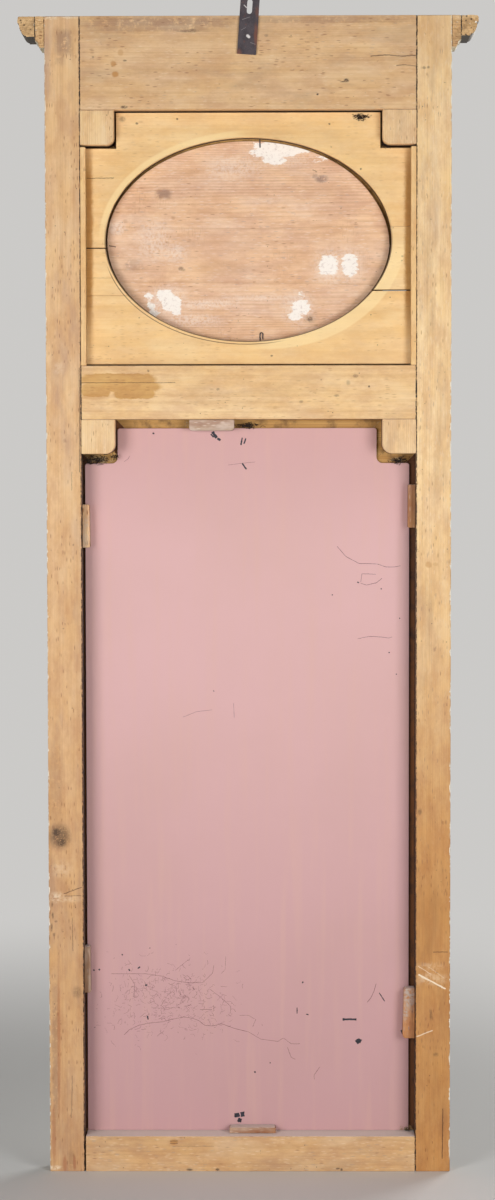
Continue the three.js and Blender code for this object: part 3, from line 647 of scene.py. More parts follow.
JOINT = (STILE_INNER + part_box("upper_right_corner_block")[1].x / MM) / 2
FRAME_WOOD = {
    "left_stile": ("Z", pine(
        "left_stile_pine", "Z", (0, 60, 300), {**PINK_PINE, "spot": "#A4613C"}, seam=JOINT, ring=2.4,
        late=0.25, grime=0.4, foot=0.4,
        stains=[(-299, 1858, 13, 20, 0.8), (-305, 1840, 8, 16, 0.4), (-322, 190, 5, 120, 0.6),
                (-296, 20, 6, 14, 0.5), (-318, 640, 10, 70, 0.3)],
        spots=[(-316, 210, 2.4, 120, 0.5), (-325, 60, 3, 50, 0.45), (-307, 12, 3, 14, 0.5),
               (-291, 14, 2.5, 12, 0.6)],
        knots=[(-313, 559, 16, 18, 0.7), (-318, 566, 8, 8, 0.9), (-310, 550, 9, 8, 0.85),
               (-325, 428, 1.6, 5, 0.6), (-320, 418, 2.2, 1.6, 0.5), (-327, 408, 1.5, 6, 0.6),
               (-323, 396, 2, 3, 0.5), (-326, 446, 1.5, 4, 0.5), (-285, 300, 7, 9, 0.35)],
        smears=[(-318, 458, 10, 8, 0.6), (-298, 455, 16, 5, 0.35), (-310, 505, 14, 12, 0.25),
                (-320, 1897, 9, 2.5, 0.9), (-290, 1898, 12, 2, 0.8), (-310, 1330, 8, 10, 0.3),
                (-325, 6, 10, 3, 0.9)],
        cracks=[(-277, 1160, -277, 1330, 0.9, 0.7), (-290, 1130, -290, 1160, 0.6, 0.6),
                (-306, 464, -277, 475, 0.9, 0.7), (-305, 460, -278, 461, 0.8, 0.5),
                (-293, 424, -292, 369, 0.6, 0.6), (-296, 90, -294, 160, 0.9, 0.4)])),
    "right_stile": ("Z", pine(
        "right_stile_pine", "Z", (200, 70, -310), SUNNY_PINE, seam=JOINT, ring=2.8, late=0.2,
        grime=0.35, foot=1.0,
        spots=[(303, 1872, 36, 60, 0.2), (295, 1007, 5, 5, 0.5), (306, 1008, 4, 3, 0.35),
               (300, 420, 26, 50, 0.2), (306, 150, 24, 60, 0.2)],
        knots=[(281, 600, 3, 5, 0.5), (300, 262, 2, 8, 0.5), (308, 196, 4, 3, 0.4),
               (286, 1815, 3, 2, 0.5), (293, 1816, 2, 2, 0.5)],
        cracks=[(320, 105, 319, 22, 0.9, 0.8), (304, 367, 327, 367, 0.8, 0.7)],
        smears=[(300, 322, 22, 8, 0.35), (298, 343, 20, 6, 0.25)],
        scratches=[(280, 329, 323, 306, 1.6, 0.85), (284, 325, 318, 309, 1.0, 0.5),
                   (279, 343, 300, 330, 0.9, 0.5), (296, 342, 321, 324, 0.8, 0.35),
                   (277, 226, 302, 236, 1.3, 0.6)])),
    "top_rail": ("X", pine(
        "top_rail_pine", "X", (100, 55, -1790), PINE, ring=3.4, grime=0.35, late=0.2,
        stains=[(-150, 1890, 122, 8, 0.75), (-190, 1881, 60, 6, 0.5), (-110, 1880, 45, 5, 0.6),
                (120, 1893, 150, 5, 0.5)], seam=JOINT,
        spots=[(-219, 1823, 4.5, 4.5, 0.7), (-216, 1806, 5.5, 4.5, 0.8), (-207, 1841, 4.5, 5, 0.4)],
        knots=[(-96, 1875, 15, 1.8, 0.5), (-90, 1876, 6, 2.8, 0.5), (160, 1795, 4, 2.6, 0.95),
               (155, 1793, 5, 1, 0.8), (-202, 1753, 5, 2, 0.95), (113, 1773, 1.7, 1.7, 0.95),
               (-200, 1828, 3, 1.5, 0.6), (-252, 1834, 2, 1.5, 0.5), (30, 1868, 3, 2, 0.4)],
        cracks=[(200, 1834, 224, 1836, 1.3, 0.7), (224, 1836, 250, 1834, 1.2, 0.6),
                (250, 1834, 272, 1835, 1.2, 0.7), (242, 1819, 256, 1820, 1.1, 0.6),
                (256, 1820, 272, 1818, 1.0, 0.5)])),
    "mid_rail": ("X", pine(
        "mid_rail_pine", "X", (400, 80, -1300), VARNISHED, ring=3.6, grime=0.2, late=0.15, flecked=0.35,
        stains=[(-213, 1311, 62, 10, 0.95), (-208, 1299, 66, 8, 0.95), (-187, 1288, 34, 9, 1.0),
                (-250, 1291, 24, 8, 0.95)], seam=JOINT,
        knots=[(175, 1316, 4, 2.5, 0.5), (163, 1305, 3, 4, 0.35), (144, 1284, 4, 2, 0.45),
               (86, 1274, 3, 2, 0.45), (197, 1299, 1.4, 1.4, 0.95), (-164, 1325, 2, 2, 0.6),
               (-50, 1295, 2.5, 2, 0.4)],
        spots=[(-252, 1283, 22, 5, 0.35)],
        cracks=[(-273, 1306, -120, 1306, 0.7, 0.6)])),
    "bottom_rail": ("X", pine(
        "bottom_rail_pine", "X", (0, 50, -45), FOOT_PINE, ring=3.2, grime=0.35, late=0.2, dirt=(4, 22),
        dust=0.95, seam=JOINT, spots=[(-126, 49, 6.5, 4.5, 0.7)],
        knots=[(-100, 3, 5, 2, 0.8), (-54, 3, 3, 2, 0.8), (146, 5, 3, 1.6, 0.8), (152, 3, 2, 2, 0.8)],
        cracks=[(-132, 51, -120, 51, 0.8, 0.6), (-132, 47, -120, 47, 0.8, 0.6),
                (-128, 42, -60, 42, 0.5, 0.4)])),
}
for node, (along, material) in FRAME_WOOD.items():
    solid = aged(solid_of(node), along, ease=1.0, step=5, wear=0.6, chips=1.4)
    make_piece(node + "_wood", solid, material, "frame_pine", node)

# ---- Corner blocks ----
# Four pine blocks glued into the corners of the two openings to step them. Their free corner is sawn
# round, and the two lower ones are rounder than the upper ones.
UPPER_BLOCK_ROUND = 12
LOWER_BLOCK_ROUND = 16
BLOCK_PINE = {**PINE, "pale": "#F0D0A2", "deep": "#E3BD8C", "grime": "#B0967C"}


def rounded(corners, steps=10):
    """The points of a polygon whose corners (x, z, radius) are rounded, in millimetres."""
    points = []
    for i, (x, z, radius) in enumerate(corners):
        here = Vector((x, z))
        into = (here - Vector(corners[i - 1][:2])).normalized()
        out_of = (Vector(corners[(i + 1) % len(corners)][:2]) - here).normalized()
        if not radius:
            points.append(here)
            continue
        turn = abs(into.angle(out_of))
        side = math.copysign(1, into.cross(out_of))
        start = here - into * radius * math.tan(turn / 2)
        centre = start + Vector((-into.y, into.x)) * side * radius
        for k in range(steps + 1):
            swept = Matrix.Rotation(side * turn * k / steps, 2)
            points.append(centre + swept @ (start - centre))
    return points


def slab(outline, rear, front):
    """A plate with that outline in X and Z, between two depths, all in millimetres."""
    bm = bmesh.new()
    bm.faces.new([bm.verts.new((x * MM, rear * MM, z * MM)) for x, z in outline])
    extruded = bmesh.ops.extrude_face_region(bm, geom=bm.faces[:])["geom"]
    moved = [v for v in extruded if isinstance(v, bmesh.types.BMVert)]
    bmesh.ops.translate(bm, vec=(0, (front - rear) * MM, 0), verts=moved)
    bmesh.ops.recalc_face_normals(bm, faces=bm.faces)
    return bm


def box_mm(node):
    low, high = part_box(node)
    return low / MM, high / MM


for level, radius in (("upper", UPPER_BLOCK_ROUND), ("lower", LOWER_BLOCK_ROUND)):
    for side_name, side in (("left", -1), ("right", 1)):
        node = f"{level}_{side_name}_corner_block"
        low, high = box_mm(node)
        outer, inner = (low.x, high.x) if side < 0 else (high.x, low.x)
        outline = rounded([(outer, high.z, 0), (outer, low.z, 0), (inner, low.z, radius), (inner, high.z, 0)])
        solid = aged(slab(outline, low.y, high.y), "Z", ease=1.3, step=3, wear=0.5, chips=0.9)
        material = pine(node + "_pine", "Z", (40 * side, 90, -250 * side), BLOCK_PINE, ring=3.4, late=0.2,
                        grime=0.35, holed=0.2)
        make_piece(node + "_wood", solid, material, "frame_pine", node)

# ---- Boards round the oval ----
# Golden pine boards laid flat in the upper opening, their grain across, with the oval sawn through
# them. They have shrunk, so a joint stands open at the left and another at the right.
BOARDS_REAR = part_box("surround_upper_board")[0].y / MM
OVAL_HALF_W = 234.5
OVAL_HALF_H = 166
OVAL_BELOW_MIDDLE = 1.2
OVAL_Z = (MID_RAIL_HIGH + TOP_RAIL_LOW) / 2 - OVAL_BELOW_MIDDLE
OVAL_STEPS = 160
NOTCH_X = 216
SHOULDER_Z = 1688
# The boards' stain colour and edge serve only the painted shadows that the strips cast beside them.
BOARD_PINE = {"pale": "#F5D098", "deep": "#E4B97A", "late": "#CE9D63", "grime": "#CFAA7C", "chalk": "#FBE7B8",
              "stain": "#CDB07C", "stain edge": (0.3, 0.1)}
# Painted shadows of the two strips on the boards beside them.
PAINTED_STRIP_SHADOWS = [(-266, OVAL_Z, 11, 140, 0.9), (266, OVAL_Z, 10, 140, 0.9)]
OPENING = (0, OVAL_Z, OVAL_HALF_W, OVAL_HALF_H)
BOARD_LOOK = {"late": 0.12, "mottled": 0.3, "fibre": 0.12, "flecked": 0.25, "stains": PAINTED_STRIP_SHADOWS,
              "dirt": (-2, 14), "oval": OPENING}


def along_oval(start, end):
    """Points of the oval opening between two angles, in degrees."""
    count = max(6, round(abs(end - start) / 360 * OVAL_STEPS))
    angles = [math.radians(start + (end - start) * i / count) for i in range(count + 1)]
    return [Vector((OVAL_HALF_W * math.cos(a), OVAL_Z + OVAL_HALF_H * math.sin(a))) for a in angles]


def angle_at(level, side):
    """Where on the oval a level lies, on the left (-1) or right (1) side, in degrees."""
    angle = math.degrees(math.asin((level - OVAL_Z) / OVAL_HALF_H))
    return angle if side > 0 else 180 - angle


upper, lower, left, right = (
    box_mm(f"surround_{name}") for name in ("upper_board", "lower_board", "left_piece", "right_piece")
)
wide, head_z, foot_z = upper[1].x, upper[1].z, lower[0].z
upper_left_z, lower_right_z = upper[0].z, lower[1].z
BOARDS = {
    "surround_upper_board": (
        [(-wide, upper_left_z), (-wide, SHOULDER_Z), (-NOTCH_X, SHOULDER_Z), (-NOTCH_X, head_z),
         (NOTCH_X, head_z), (NOTCH_X, SHOULDER_Z), (wide, SHOULDER_Z), (wide, right[1].z + 0.3)]
        + along_oval(angle_at(right[1].z + 0.3, 1), angle_at(upper_left_z, -1)),
        pine("upper_board_pine", "X", (150, 96, -1620), BOARD_PINE, ring=4.2, grime=0.3, **BOARD_LOOK,
             knots=[(-206, 1736, 5, 4, 0.5), (-116, 1736, 1.5, 1.5, 0.8), (-182, 1729, 2, 1.5, 0.7),
                    (133, 1727, 1.5, 1.5, 0.8), (184, 1654, 1.5, 1.5, 0.8)],
             cracks=[(-264, 1640, -220, 1640.5, 0.7, 0.8)])),
    "surround_lower_board": (
        [(wide, lower_right_z), (wide, foot_z), (-wide, foot_z), (-wide, left[0].z - 0.3)]
        + along_oval(angle_at(left[0].z - 0.3, -1), angle_at(lower_right_z, 1) + 360),
        pine("lower_board_pine", "X", (-220, 104, -1390), BOARD_PINE, ring=4.6, grime=0.25, **BOARD_LOOK,
             knots=[(38, 1350, 2, 1.5, 0.7)])),
    "surround_left_piece": (
        [(-wide, left[1].z), (-wide, left[0].z)]
        + along_oval(angle_at(left[0].z, -1), angle_at(left[1].z, -1)),
        pine("left_piece_pine", "X", (30, 110, -1480), BOARD_PINE, ring=4.0, grime=0.22, **BOARD_LOOK,
             cracks=[(-264, 1477.7, -225, 1477.7, 0.5, 0.35)])),
    "surround_right_piece": (
        [(wide, right[0].z), (wide, right[1].z)]
        + along_oval(angle_at(right[1].z, 1), angle_at(right[0].z, 1)),
        pine("right_piece_pine", "X", (380, 100, -1500), {**BOARD_PINE, "pale": "#F9DBA8", "deep": "#EBC68C"},
             ring=4.4, grime=0.22, **BOARD_LOOK,
             knots=[(252, 1512, 1.5, 1.5, 0.8), (251, 1505, 1.2, 1.2, 0.8)])),
}
for node, (outline, material) in BOARDS.items():
    solid = aged(slab(outline, BOARDS_REAR, FRONT), "X", ease=0.5, step=6, wear=0.4, chips=0.8)
    make_piece(node + "_wood", solid, material, "panel_pine", node)

# ---- Strips beside the boards ----
# Two thin strips nailed inside the stiles, which hold the boards in from behind.
for side_name, side in (("left", -1), ("right", 1)):
    node = f"panel_strip_{side_name}"
    low, high = box_mm(node)
    outline = [(low.x, low.z), (high.x, low.z), (high.x, high.z), (low.x, high.z)]
    solid = aged(slab(outline, low.y, high.y), "Z", ease=1.0, step=5, wear=0.5, chips=0.9)
    material = pine(node + "_pine", "Z", (90 * side, 70, 265 * side), BOARD_PINE, ring=3.0, late=0.25,
                    grime=0.3, dirt=(-14, -4))
    make_piece(node + "_wood", solid, material, "frame_pine", node)

# ---- Oval board ----
# A thin pinkish board planed smooth, cut to the oval and laid into it from behind. Bits of gesso
# from the front have stuck to it, and two bent nails hold it.
OVAL_BOARD_STEPS = 144
OVAL_PINE = {"stain": "#BDB9BE", "pale": "#F3CDAC", "deep": "#E4B892", "late": "#C08E68", "grime": "#C4967E",
             "chalk": "#F6E4D6"}
low, high = box_mm("oval_board")
centre, reach = (low + high) / 2, (high - low) / 2
outline = []
for i in range(OVAL_BOARD_STEPS):
    a = 2 * math.pi * i / OVAL_BOARD_STEPS
    flat = 3.2 * math.exp(-((math.degrees(a) - 24) / 20) ** 2)
    outline.append((centre.x + (reach.x - flat) * math.cos(a), centre.z + (reach.z - flat) * math.sin(a)))
solid = slab(outline, low.y, high.y)
eased(solid, 0.5 * MM)
material = pine(
    "oval_board_pine", "X", (60, 150, -1520), OVAL_PINE, ring=2.6, late=0.4, grime=0.25, fibre=0.35,
    flecked=0.5, hatched=0.25, dirt=(16, 20),
    knots=[(101, 1411, 5, 4, 0.7), (101, 1411, 9, 7, 0.25), (-111, 1494, 4, 3, 0.5), (-107, 1492, 3, 2, 0.3)],
    stains=[(120, 1640, 9, 5, 1.0), (-139, 1616, 12, 7, 0.9), (110, 1645, 4, 3, 0.6),
            (-190, 1500, 14, 10, 0.4)],
    spots=[(-45, 1495, 45, 14, 0.2)],
    smears=[(-216, 1560, 12, 10, 0.6), (-156, 1540, 26, 30, 0.45), (-121, 1520, 18, 14, 0.5),
            (-68, 1436, 50, 7, 0.5), (-94, 1409, 45, 9, 0.5), (-23, 1659, 40, 16, 0.4),
            (20, 1446, 60, 4, 0.4), (58, 1678, 60, 18, 0.3), (134, 1497, 24, 24, 0.55),
            (165, 1499, 20, 25, 0.5), (82, 1428, 22, 24, 0.55), (-135, 1441, 28, 22, 0.6)],
    cracks=[(-229, 1532, -219, 1530, 1.2, 0.8), (106, 1655, 112, 1652, 1.0, 0.5)],
    gesso=[(45, 1687, 40, 14, 0.95), (80, 1689, 24, 9, 0.85), (42, 1673, 20, 10, 0.9),
           (122, 1673, 24, 8, 0.5), (132, 1498, 17, 17, 0.95), (167, 1500, 14, 18, 0.95),
           (86, 1430, 15, 13, 0.9), (76, 1416, 13, 8, 0.75), (88, 1452, 10, 10, 0.5), (-138, 1450, 13, 11, 0.95),
           (-127, 1437, 16, 14, 1.0), (-119, 1426, 9, 9, 0.9), (-165, 1448, 10, 9, 0.6),
           (-160, 1434, 9, 9, 0.6), (-155, 1422, 12, 7, 0.7)])
make_piece("oval_board_wood", solid, material, "oval_wood", "oval_board")

# ---- Mirror glass ----
# One sheet of glass with stepped upper corners. Its back is silvered and covered with pink
# protective paint, which is scratched and cracked; the front is the mirror.
GLASS_LEFT, GLASS_RIGHT = -271, 265
GLASS_LOW, GLASS_SHOULDER, GLASS_HIGH = 59.3, 1174, 1231.8
GLASS_NOTCH_LEFT, GLASS_NOTCH_RIGHT = -217, 211
GLASS_REAR, GLASS_FRONT = 17.5, 22.5
PAINT_PINK = "#D9ADAC"
solid = slab(rounded([
    (GLASS_LEFT, GLASS_LOW, 0), (GLASS_RIGHT, GLASS_LOW, 0), (GLASS_RIGHT, GLASS_SHOULDER, 4),
    (GLASS_NOTCH_RIGHT, GLASS_SHOULDER, 10), (GLASS_NOTCH_RIGHT, GLASS_HIGH, 4),
    (GLASS_NOTCH_LEFT, GLASS_HIGH, 4), (GLASS_NOTCH_LEFT, GLASS_SHOULDER, 10),
    (GLASS_LEFT, GLASS_SHOULDER, 4)]), GLASS_REAR, GLASS_FRONT)
eased(solid, 0.5 * MM)

pink_back, tree, shader, position = start_material("pink_mirror_back")
xyz = parts_of(position)
drift = cloud(position, (260, 200, 300), 3, 0.5)["Fac"]
colour = tint(fade(drift, 0.3, 0.75), PAINT_PINK, "#D5AAA6")
# Painted shade: the paint darkens towards the foot of the plate, and again near its top under the mid rail.
painted_shade_low = times(fade(xyz["Z"], 1000, 60), 0.65)
colour = tint(painted_shade_low, colour, "#DCD2D7", "MULTIPLY")
colour = tint(times(fade(xyz["Z"], 1010, 1240), 0.6), colour, "#EDE6E4", "MULTIPLY")
brushed = cloud(position, (16, 20, 320), 3, 0.55)["Fac"]
colour = tint(times(fade(brushed, 0.45, 0.75), 0.22), colour, "#D9AE9B")
spotty = cloud(position, (7, 7, 7), 4, 0.7)["Fac"]
colour = tint(times(fade(spotty, 0.66, 0.74), 0.16), colour, "#B98C88")
colour = tint(fade(xyz["Y"], GLASS_REAR + 0.6, GLASS_REAR + 0.9), colour, "#5F7A6B")
plug(shader["Base Color"], colour)
plug(shader["Roughness"], plus(0.5, times(brushed, 0.2)))
plug(shader["Normal"], add(tree, "Bump", {
    "Height": brushed, "Strength": 0.4, "Distance": 0.0002}).outputs[0])

mirror_front, tree, shader, position = start_material("old_mirror_silver")
worn_silver = fade(cloud(position, (40, 40, 40), 6, 0.7)["Fac"], 0.62, 0.72)
fox = use(holes, position=ragged(position, 4, 3), spacing=26.0, radius=2.2, share=0.3)["Mask"]
spoiled = strongest([times(worn_silver, 0.5), times(fox, 0.8)])
plug(shader["Base Color"], tint(spoiled, "#E6E6E3", "#6E675C"))
plug(shader["Roughness"], plus(0.03, times(spoiled, 0.4)))
shader["Metallic"].default_value = 1.0

glass = make_piece("mirror_glass_plate", solid, pink_back, "mirror", "mirror_glass")
glass.data.materials.append(mirror_front)
for face in glass.data.polygons:
    face.material_index = 1 if face.normal.y > 0.9 else 0

# ---- Scratches and cracks in the pink paint ----
# Fine cracks wander over the foot of the plate, and here and there the paint is scratched through
# or knocked off, which bares the dark grey behind it. Each mark is a thin flake in its place.
PAINT_LEVEL = GLASS_REAR
MARK_FLATNESS = 0.12
# Each crack: its width, then its points (x, z)
CRACKS = [
    (0.8, [(-210, 220), (-201, 229), (-186, 236), (-169, 240), (-146, 242), (-127, 247), (-110, 250),
           (-95, 248), (-85, 244), (-75, 236), (-62, 235), (-47, 239), (-26, 231), (-2, 225)]),
    (0.7, [(-2, 225), (18, 213), (47, 209), (56, 215), (69, 205), (84, 205)]),
    (0.7, [(-231, 323), (-203, 323), (-173, 323), (-146, 319), (-124, 311), (-102, 308), (-79, 308),
           (-62, 324), (-60, 337)]),
    (0.5, [(-124, 329), (-102, 347)]), (0.5, [(-40, 352), (-41, 330), (-48, 323)]),
    (0.6, [(-201, 320), (-192, 305), (-193, 283)]),
    (0.6, [(-68, 298), (-48, 283), (-32, 268), (-32, 256)]), (0.8, [(-83, 263), (-63, 263)]),
    (0.6, [(-17, 253), (-2, 253), (10, 246), (5, 234)]), (0.8, [(63, 199), (69, 182), (76, 179)]),
    (0.9, [(146, 1036), (161, 1019), (182, 1008), (213, 1007), (226, 1002), (241, 1002), (251, 1004)]),
    (0.8, [(187, 991), (210, 990)]), (0.8, [(187, 991), (185, 977)]),
    (0.9, [(185, 975), (195, 972), (211, 976), (220, 983)]),
    (0.8, [(180, 883), (199, 887), (218, 886), (232, 884), (237, 886)]),
    (1.0, [(196, 275), (202, 282), (207, 293), (211, 306)]), (1.0, [(216, 291), (225, 278)]),
    (0.6, [(-34, 1171), (-20, 1173), (10, 1176)]), (0.8, [(117, 166), (107, 152), (108, 145)]),
    (0.6, [(-110, 753), (-88, 762), (-62, 765)]), (0.6, [(-26, 776), (-25, 752)]),
    (0.9, [(-206, 1177), (-200, 1181), (-197, 1186)]),
]
# Each knock: its width, then its points (x, z)
KNOCKS = [
    (5.5, [(-60, 1226), (-57, 1221), (-53, 1216)]), (4.5, [(-52, 1215), (-47, 1212)]),
    (3.0, [(-63, 1222), (-58, 1217)]), (3.0, [(-11, 1216), (-13, 1204)]), (2.6, [(-5, 1215), (-8, 1206)]),
    (2.8, [(-11, 1174), (-7, 1168), (-4, 1164)]), (3.6, [(156, 246), (166, 246.5), (178, 246)]),
    (5.0, [(155, 246), (158, 246)]), (8.0, [(178, 207), (182, 211), (186, 209)]),
    (9.0, [(-22, 88), (-21, 81)]), (8.0, [(-13, 90), (-12, 82)]), (7.5, [(-20, 77), (-14, 75)]),
    (2.8, [(-159, 1224), (-156, 1223)]), (4.2, [(253, 228), (256, 222)]), (2.4, [(8, 159), (9, 156)]),
    (2.0, [(34, 174), (34, 172)]), (2.8, [(-261, 330), (-259, 328)]), (3.0, [(-252, 331), (-250, 329)]),
    (2.2, [(-202, 331), (-200, 328)]), (2.4, [(-187, 332), (-183, 335)]), (3.0, [(-175, 304), (-171, 304)]),
    (2.4, [(-171, 252), (-170, 246)]), (2.2, [(-213, 356), (-212, 354)]), (2.0, [(-259, 233), (-259, 232)]),
    (2.6, [(89, 310), (88, 307)]), (1.6, [(79, 266), (79, 256)]), (1.8, [(94, 255), (98, 254)]),
    (2.4, [(179, 977), (182, 976)]), (2.0, [(219, 967), (219, 965)]), (2.0, [(138, 957), (138, 955)]),
    (2.0, [(232, 861), (232, 859)]), (2.0, [(244, 825), (244, 823)]), (1.8, [(-60, 797), (-58, 796)]),
    (2.0, [(249, 918), (250, 916)]), (2.0, [(-167, 367), (-166, 366)]), (1.8, [(216, 291), (225, 277)]),
]
WEB_MARKS = 460
WEB_MIDDLE = (-138, 277)
WEB_SPREAD = (58, 34)
WEB_STEP = 2.6
WEB_WIDTHS = (0.25, 0.55)
INSIDE_GLASS = 4


def grow(tree, kind, sockets=None, **settings):
    """Adds a geometry node, as add() adds a shader node, and returns its first output."""
    made = tree.nodes.new("GeometryNode" + kind)
    for name, value in settings.items():
        setattr(made, name, value)
    for name, value in (sockets or {}).items():
        plug(made.inputs[name], value)
    return made.outputs[0]


def new_tree(name, given):
    """An empty geometry tree with a geometry and named inputs (kind and value)."""
    tree = bpy.data.node_groups.new(name, "GeometryNodeTree")
    tree.interface.new_socket(name="Geometry", in_out="INPUT", socket_type="NodeSocketGeometry")
    for socket, (kind, value) in {**given, "Material": ("Material", None)}.items():
        made = tree.interface.new_socket(name=socket, in_out="INPUT", socket_type="NodeSocket" + kind)
        if value is not None:
            made.default_value = value
    tree.interface.new_socket(name="Geometry", in_out="OUTPUT", socket_type="NodeSocketGeometry")
    return tree, tree.nodes.new("NodeGroupInput").outputs


def close_tree(tree, given, made):
    """Ends a geometry tree: instances made real, and the material set."""
    real = grow(tree, "RealizeInstances", {"Geometry": made})
    coated = grow(tree, "SetMaterial", {"Geometry": real, "Material": given["Material"]})
    plug(tree.nodes.new("NodeGroupOutput").inputs[0], coated)


def grown(tree, base, **values):
    """Runs a geometry tree on a base mesh and returns a plain mesh with its faces outwards."""
    holder = bpy.data.objects.new(tree.name, base)
    bpy.context.collection.objects.link(holder)
    modifier = holder.modifiers.new(tree.name, "NODES")
    modifier.node_group = tree
    for item in tree.interface.items_tree:
        key = item.name.lower().replace(" ", "_")
        if item.in_out == "INPUT" and key in values:
            modifier[item.identifier] = values[key]
    evaluated = holder.evaluated_get(bpy.context.evaluated_depsgraph_get())
    mesh = bpy.data.meshes.new_from_object(evaluated)
    holder.modifiers.clear()
    bpy.data.objects.remove(holder)
    bm = bmesh.new()
    bm.from_mesh(mesh)
    bmesh.ops.recalc_face_normals(bm, faces=bm.faces)
    bm.to_mesh(mesh)
    bm.free()
    return mesh


def strokes(name, runs):
    """Lines as a mesh of edges, each (width, points) in millimetres, with the width kept on its points."""
    points, edges, widths = [], [], []
    for width, run in runs:
        edges += [(len(points) + i, len(points) + i + 1) for i in range(len(run) - 1)]
        points += [tuple(part * MM for part in point) for point in run]
        widths += [width * MM] * len(run)
    mesh = bpy.data.meshes.new(name)
    mesh.from_pydata(points, edges, [])
    mesh.attributes.new("width", "FLOAT", "POINT").data.foreach_set("value", widths)
    return mesh


# Draws lines as uneven strokes: threads if Flatness is 1, flakes on a plane if it is small
thread, given = new_tree("uneven_strokes", {
    "Step": ("Float", 0.002), "Shake": ("Float", 0.0012), "Flatness": ("Float", 1.0),
    "Level": ("Float", 0.0), "Sides": ("Int", 6)})
tree = thread
lain = grow(tree, "MeshToCurve", {"Mesh": given["Geometry"]})
lain = grow(tree, "ResampleCurve", {"Curve": lain, "Length": given["Step"]}, mode="LENGTH")
spot = grow(tree, "InputPosition")
jitter = add(tree, "TexNoise", {"Vector": spot, "Scale": 260.0, "Detail": 3.0, "Roughness": 0.7}).outputs
shift = scaled(vectors("SUBTRACT", jitter["Color"], (0.5, 0.5, 0.5)), given["Shake"])
lain = grow(tree, "SetPosition", {"Geometry": lain, "Offset": shift})
width = grow(tree, "InputNamedAttribute", {"Name": "width"}, data_type="FLOAT")
swell = add(tree, "TexNoise", {"Vector": vectors("ADD", spot, (3, 1, 2)), "Scale": 420.0}).outputs["Fac"]
width = times(width, plus(0.35, times(swell, 1.3)))
ring = grow(tree, "CurvePrimitiveCircle", {"Resolution": given["Sides"], "Radius": 0.5})
drawn = grow(tree, "CurveToMesh", {
    "Curve": lain, "Profile Curve": ring, "Scale": width, "Fill Caps": True})
at = parts_of(grow(tree, "InputPosition"))
off = times(minus(at["Y"], given["Level"]), given["Flatness"])
flat = add(tree, "CombineXYZ", {"X": at["X"], "Y": plus(given["Level"], off), "Z": at["Z"]}).outputs[0]
close_tree(tree, given, grow(tree, "SetPosition", {"Geometry": drawn, "Position": flat}))

chance = random.Random(11)
web = []
for i in range(WEB_MARKS):
    x, z = (chance.gauss(middle, spread) for middle, spread in zip(WEB_MIDDLE, WEB_SPREAD))
    heading = chance.gauss(0.2, 0.8)
    run = [(x, z)]
    for k in range(chance.randint(1, 5)):
        heading += chance.gauss(0, 0.8)
        x, z = x + WEB_STEP * math.cos(heading), z + WEB_STEP * math.sin(heading)
        run.append((x, z))
    if all(GLASS_LEFT + INSIDE_GLASS < x < GLASS_RIGHT - INSIDE_GLASS and z > GLASS_LOW + INSIDE_GLASS
           for x, z in run):
        web.append((chance.uniform(*WEB_WIDTHS), run))
for name, runs, dark, pale in (
        ("paint_cracks", CRACKS + web, "#6E454A", "#936A6C"),
        ("paint_knocks", KNOCKS, "#16151F", "#2E2B38")):
    bared, tree, shader, position = start_material(name)
    spread = cloud(position, (5, 5, 5), 4, 0.6)["Fac"]
    plug(shader["Base Color"], tint(fade(spread, 0.35, 0.7), dark, pale))
    plug(shader["Roughness"], plus(0.4, times(spread, 0.3)))
    flakes = strokes(name + "_lines", [(width, [(x, PAINT_LEVEL, z) for x, z in run]) for width, run in runs])
    drawn = grown(thread, flakes, level=PAINT_LEVEL * MM, flatness=MARK_FLATNESS, material=bared)
    set_piece(name, drawn, None)

# ---- Dirt and cobwebs ----
# Dirt and torn cobwebs sit in the corners of the two openings. Each tuft is a tangle of short threads.
# Each tuft: its middle (x, y, z), its reach along each axis, and how many threads it has
DARK_TUFTS = [
    ((-1, 12, 1236), (13, 4, 4), 90), ((-250, 10, 1180), (24, 7, 6), 110), ((-222, 8, 1184), (6, 6, 7), 40),
    ((248, 13, 1178), (18, 4, 4), 70), ((184, -5, 1738), (14, 2, 4), 80), ((226, -4, 1693), (9, 2, 5), 22),
    ((262, 15, 62), (5, 3, 4), 16), ((224, 13, 1240), (5, 4, 4), 14),
]
PALE_TUFTS = [
    ((-246, 12, 1180), (26, 5, 6), 40), ((245, 13, 1179), (14, 4, 3), 14), ((258, 14, 63), (12, 3, 4), 22),
    ((-100, 10, 1240), (6, 6, 4), 10), ((190, -3, 1738), (10, 2, 5), 8),
]
for name, tufts, widths, shade in (
        ("dark_dirt", DARK_TUFTS, (0.5, 1.3), "#2B1D12"),
        ("pale_cobwebs", PALE_TUFTS, (0.3, 0.8), "#B59D78")):
    runs = []
    for middle, reach, count in tufts:
        for i in range(count):
            point = Vector([chance.gauss(m, r / 2.2) for m, r in zip(middle, reach)])
            run = [tuple(point)]
            for k in range(chance.randint(1, 4)):
                point = point + Vector([chance.gauss(0, 0.28 * r ** 0.7 + 0.5) for r in reach])
                run.append(tuple(point))
            runs.append((chance.uniform(*widths), run))
    dusty, tree, shader, position = start_material(name)
    plug(shader["Base Color"], srgb(shade))
    plug(shader["Roughness"], 0.95)
    drawn = grown(thread, strokes(name + "_lines", runs), shake=0.0016, sides=5, material=dusty)
    set_piece(name, drawn, None)
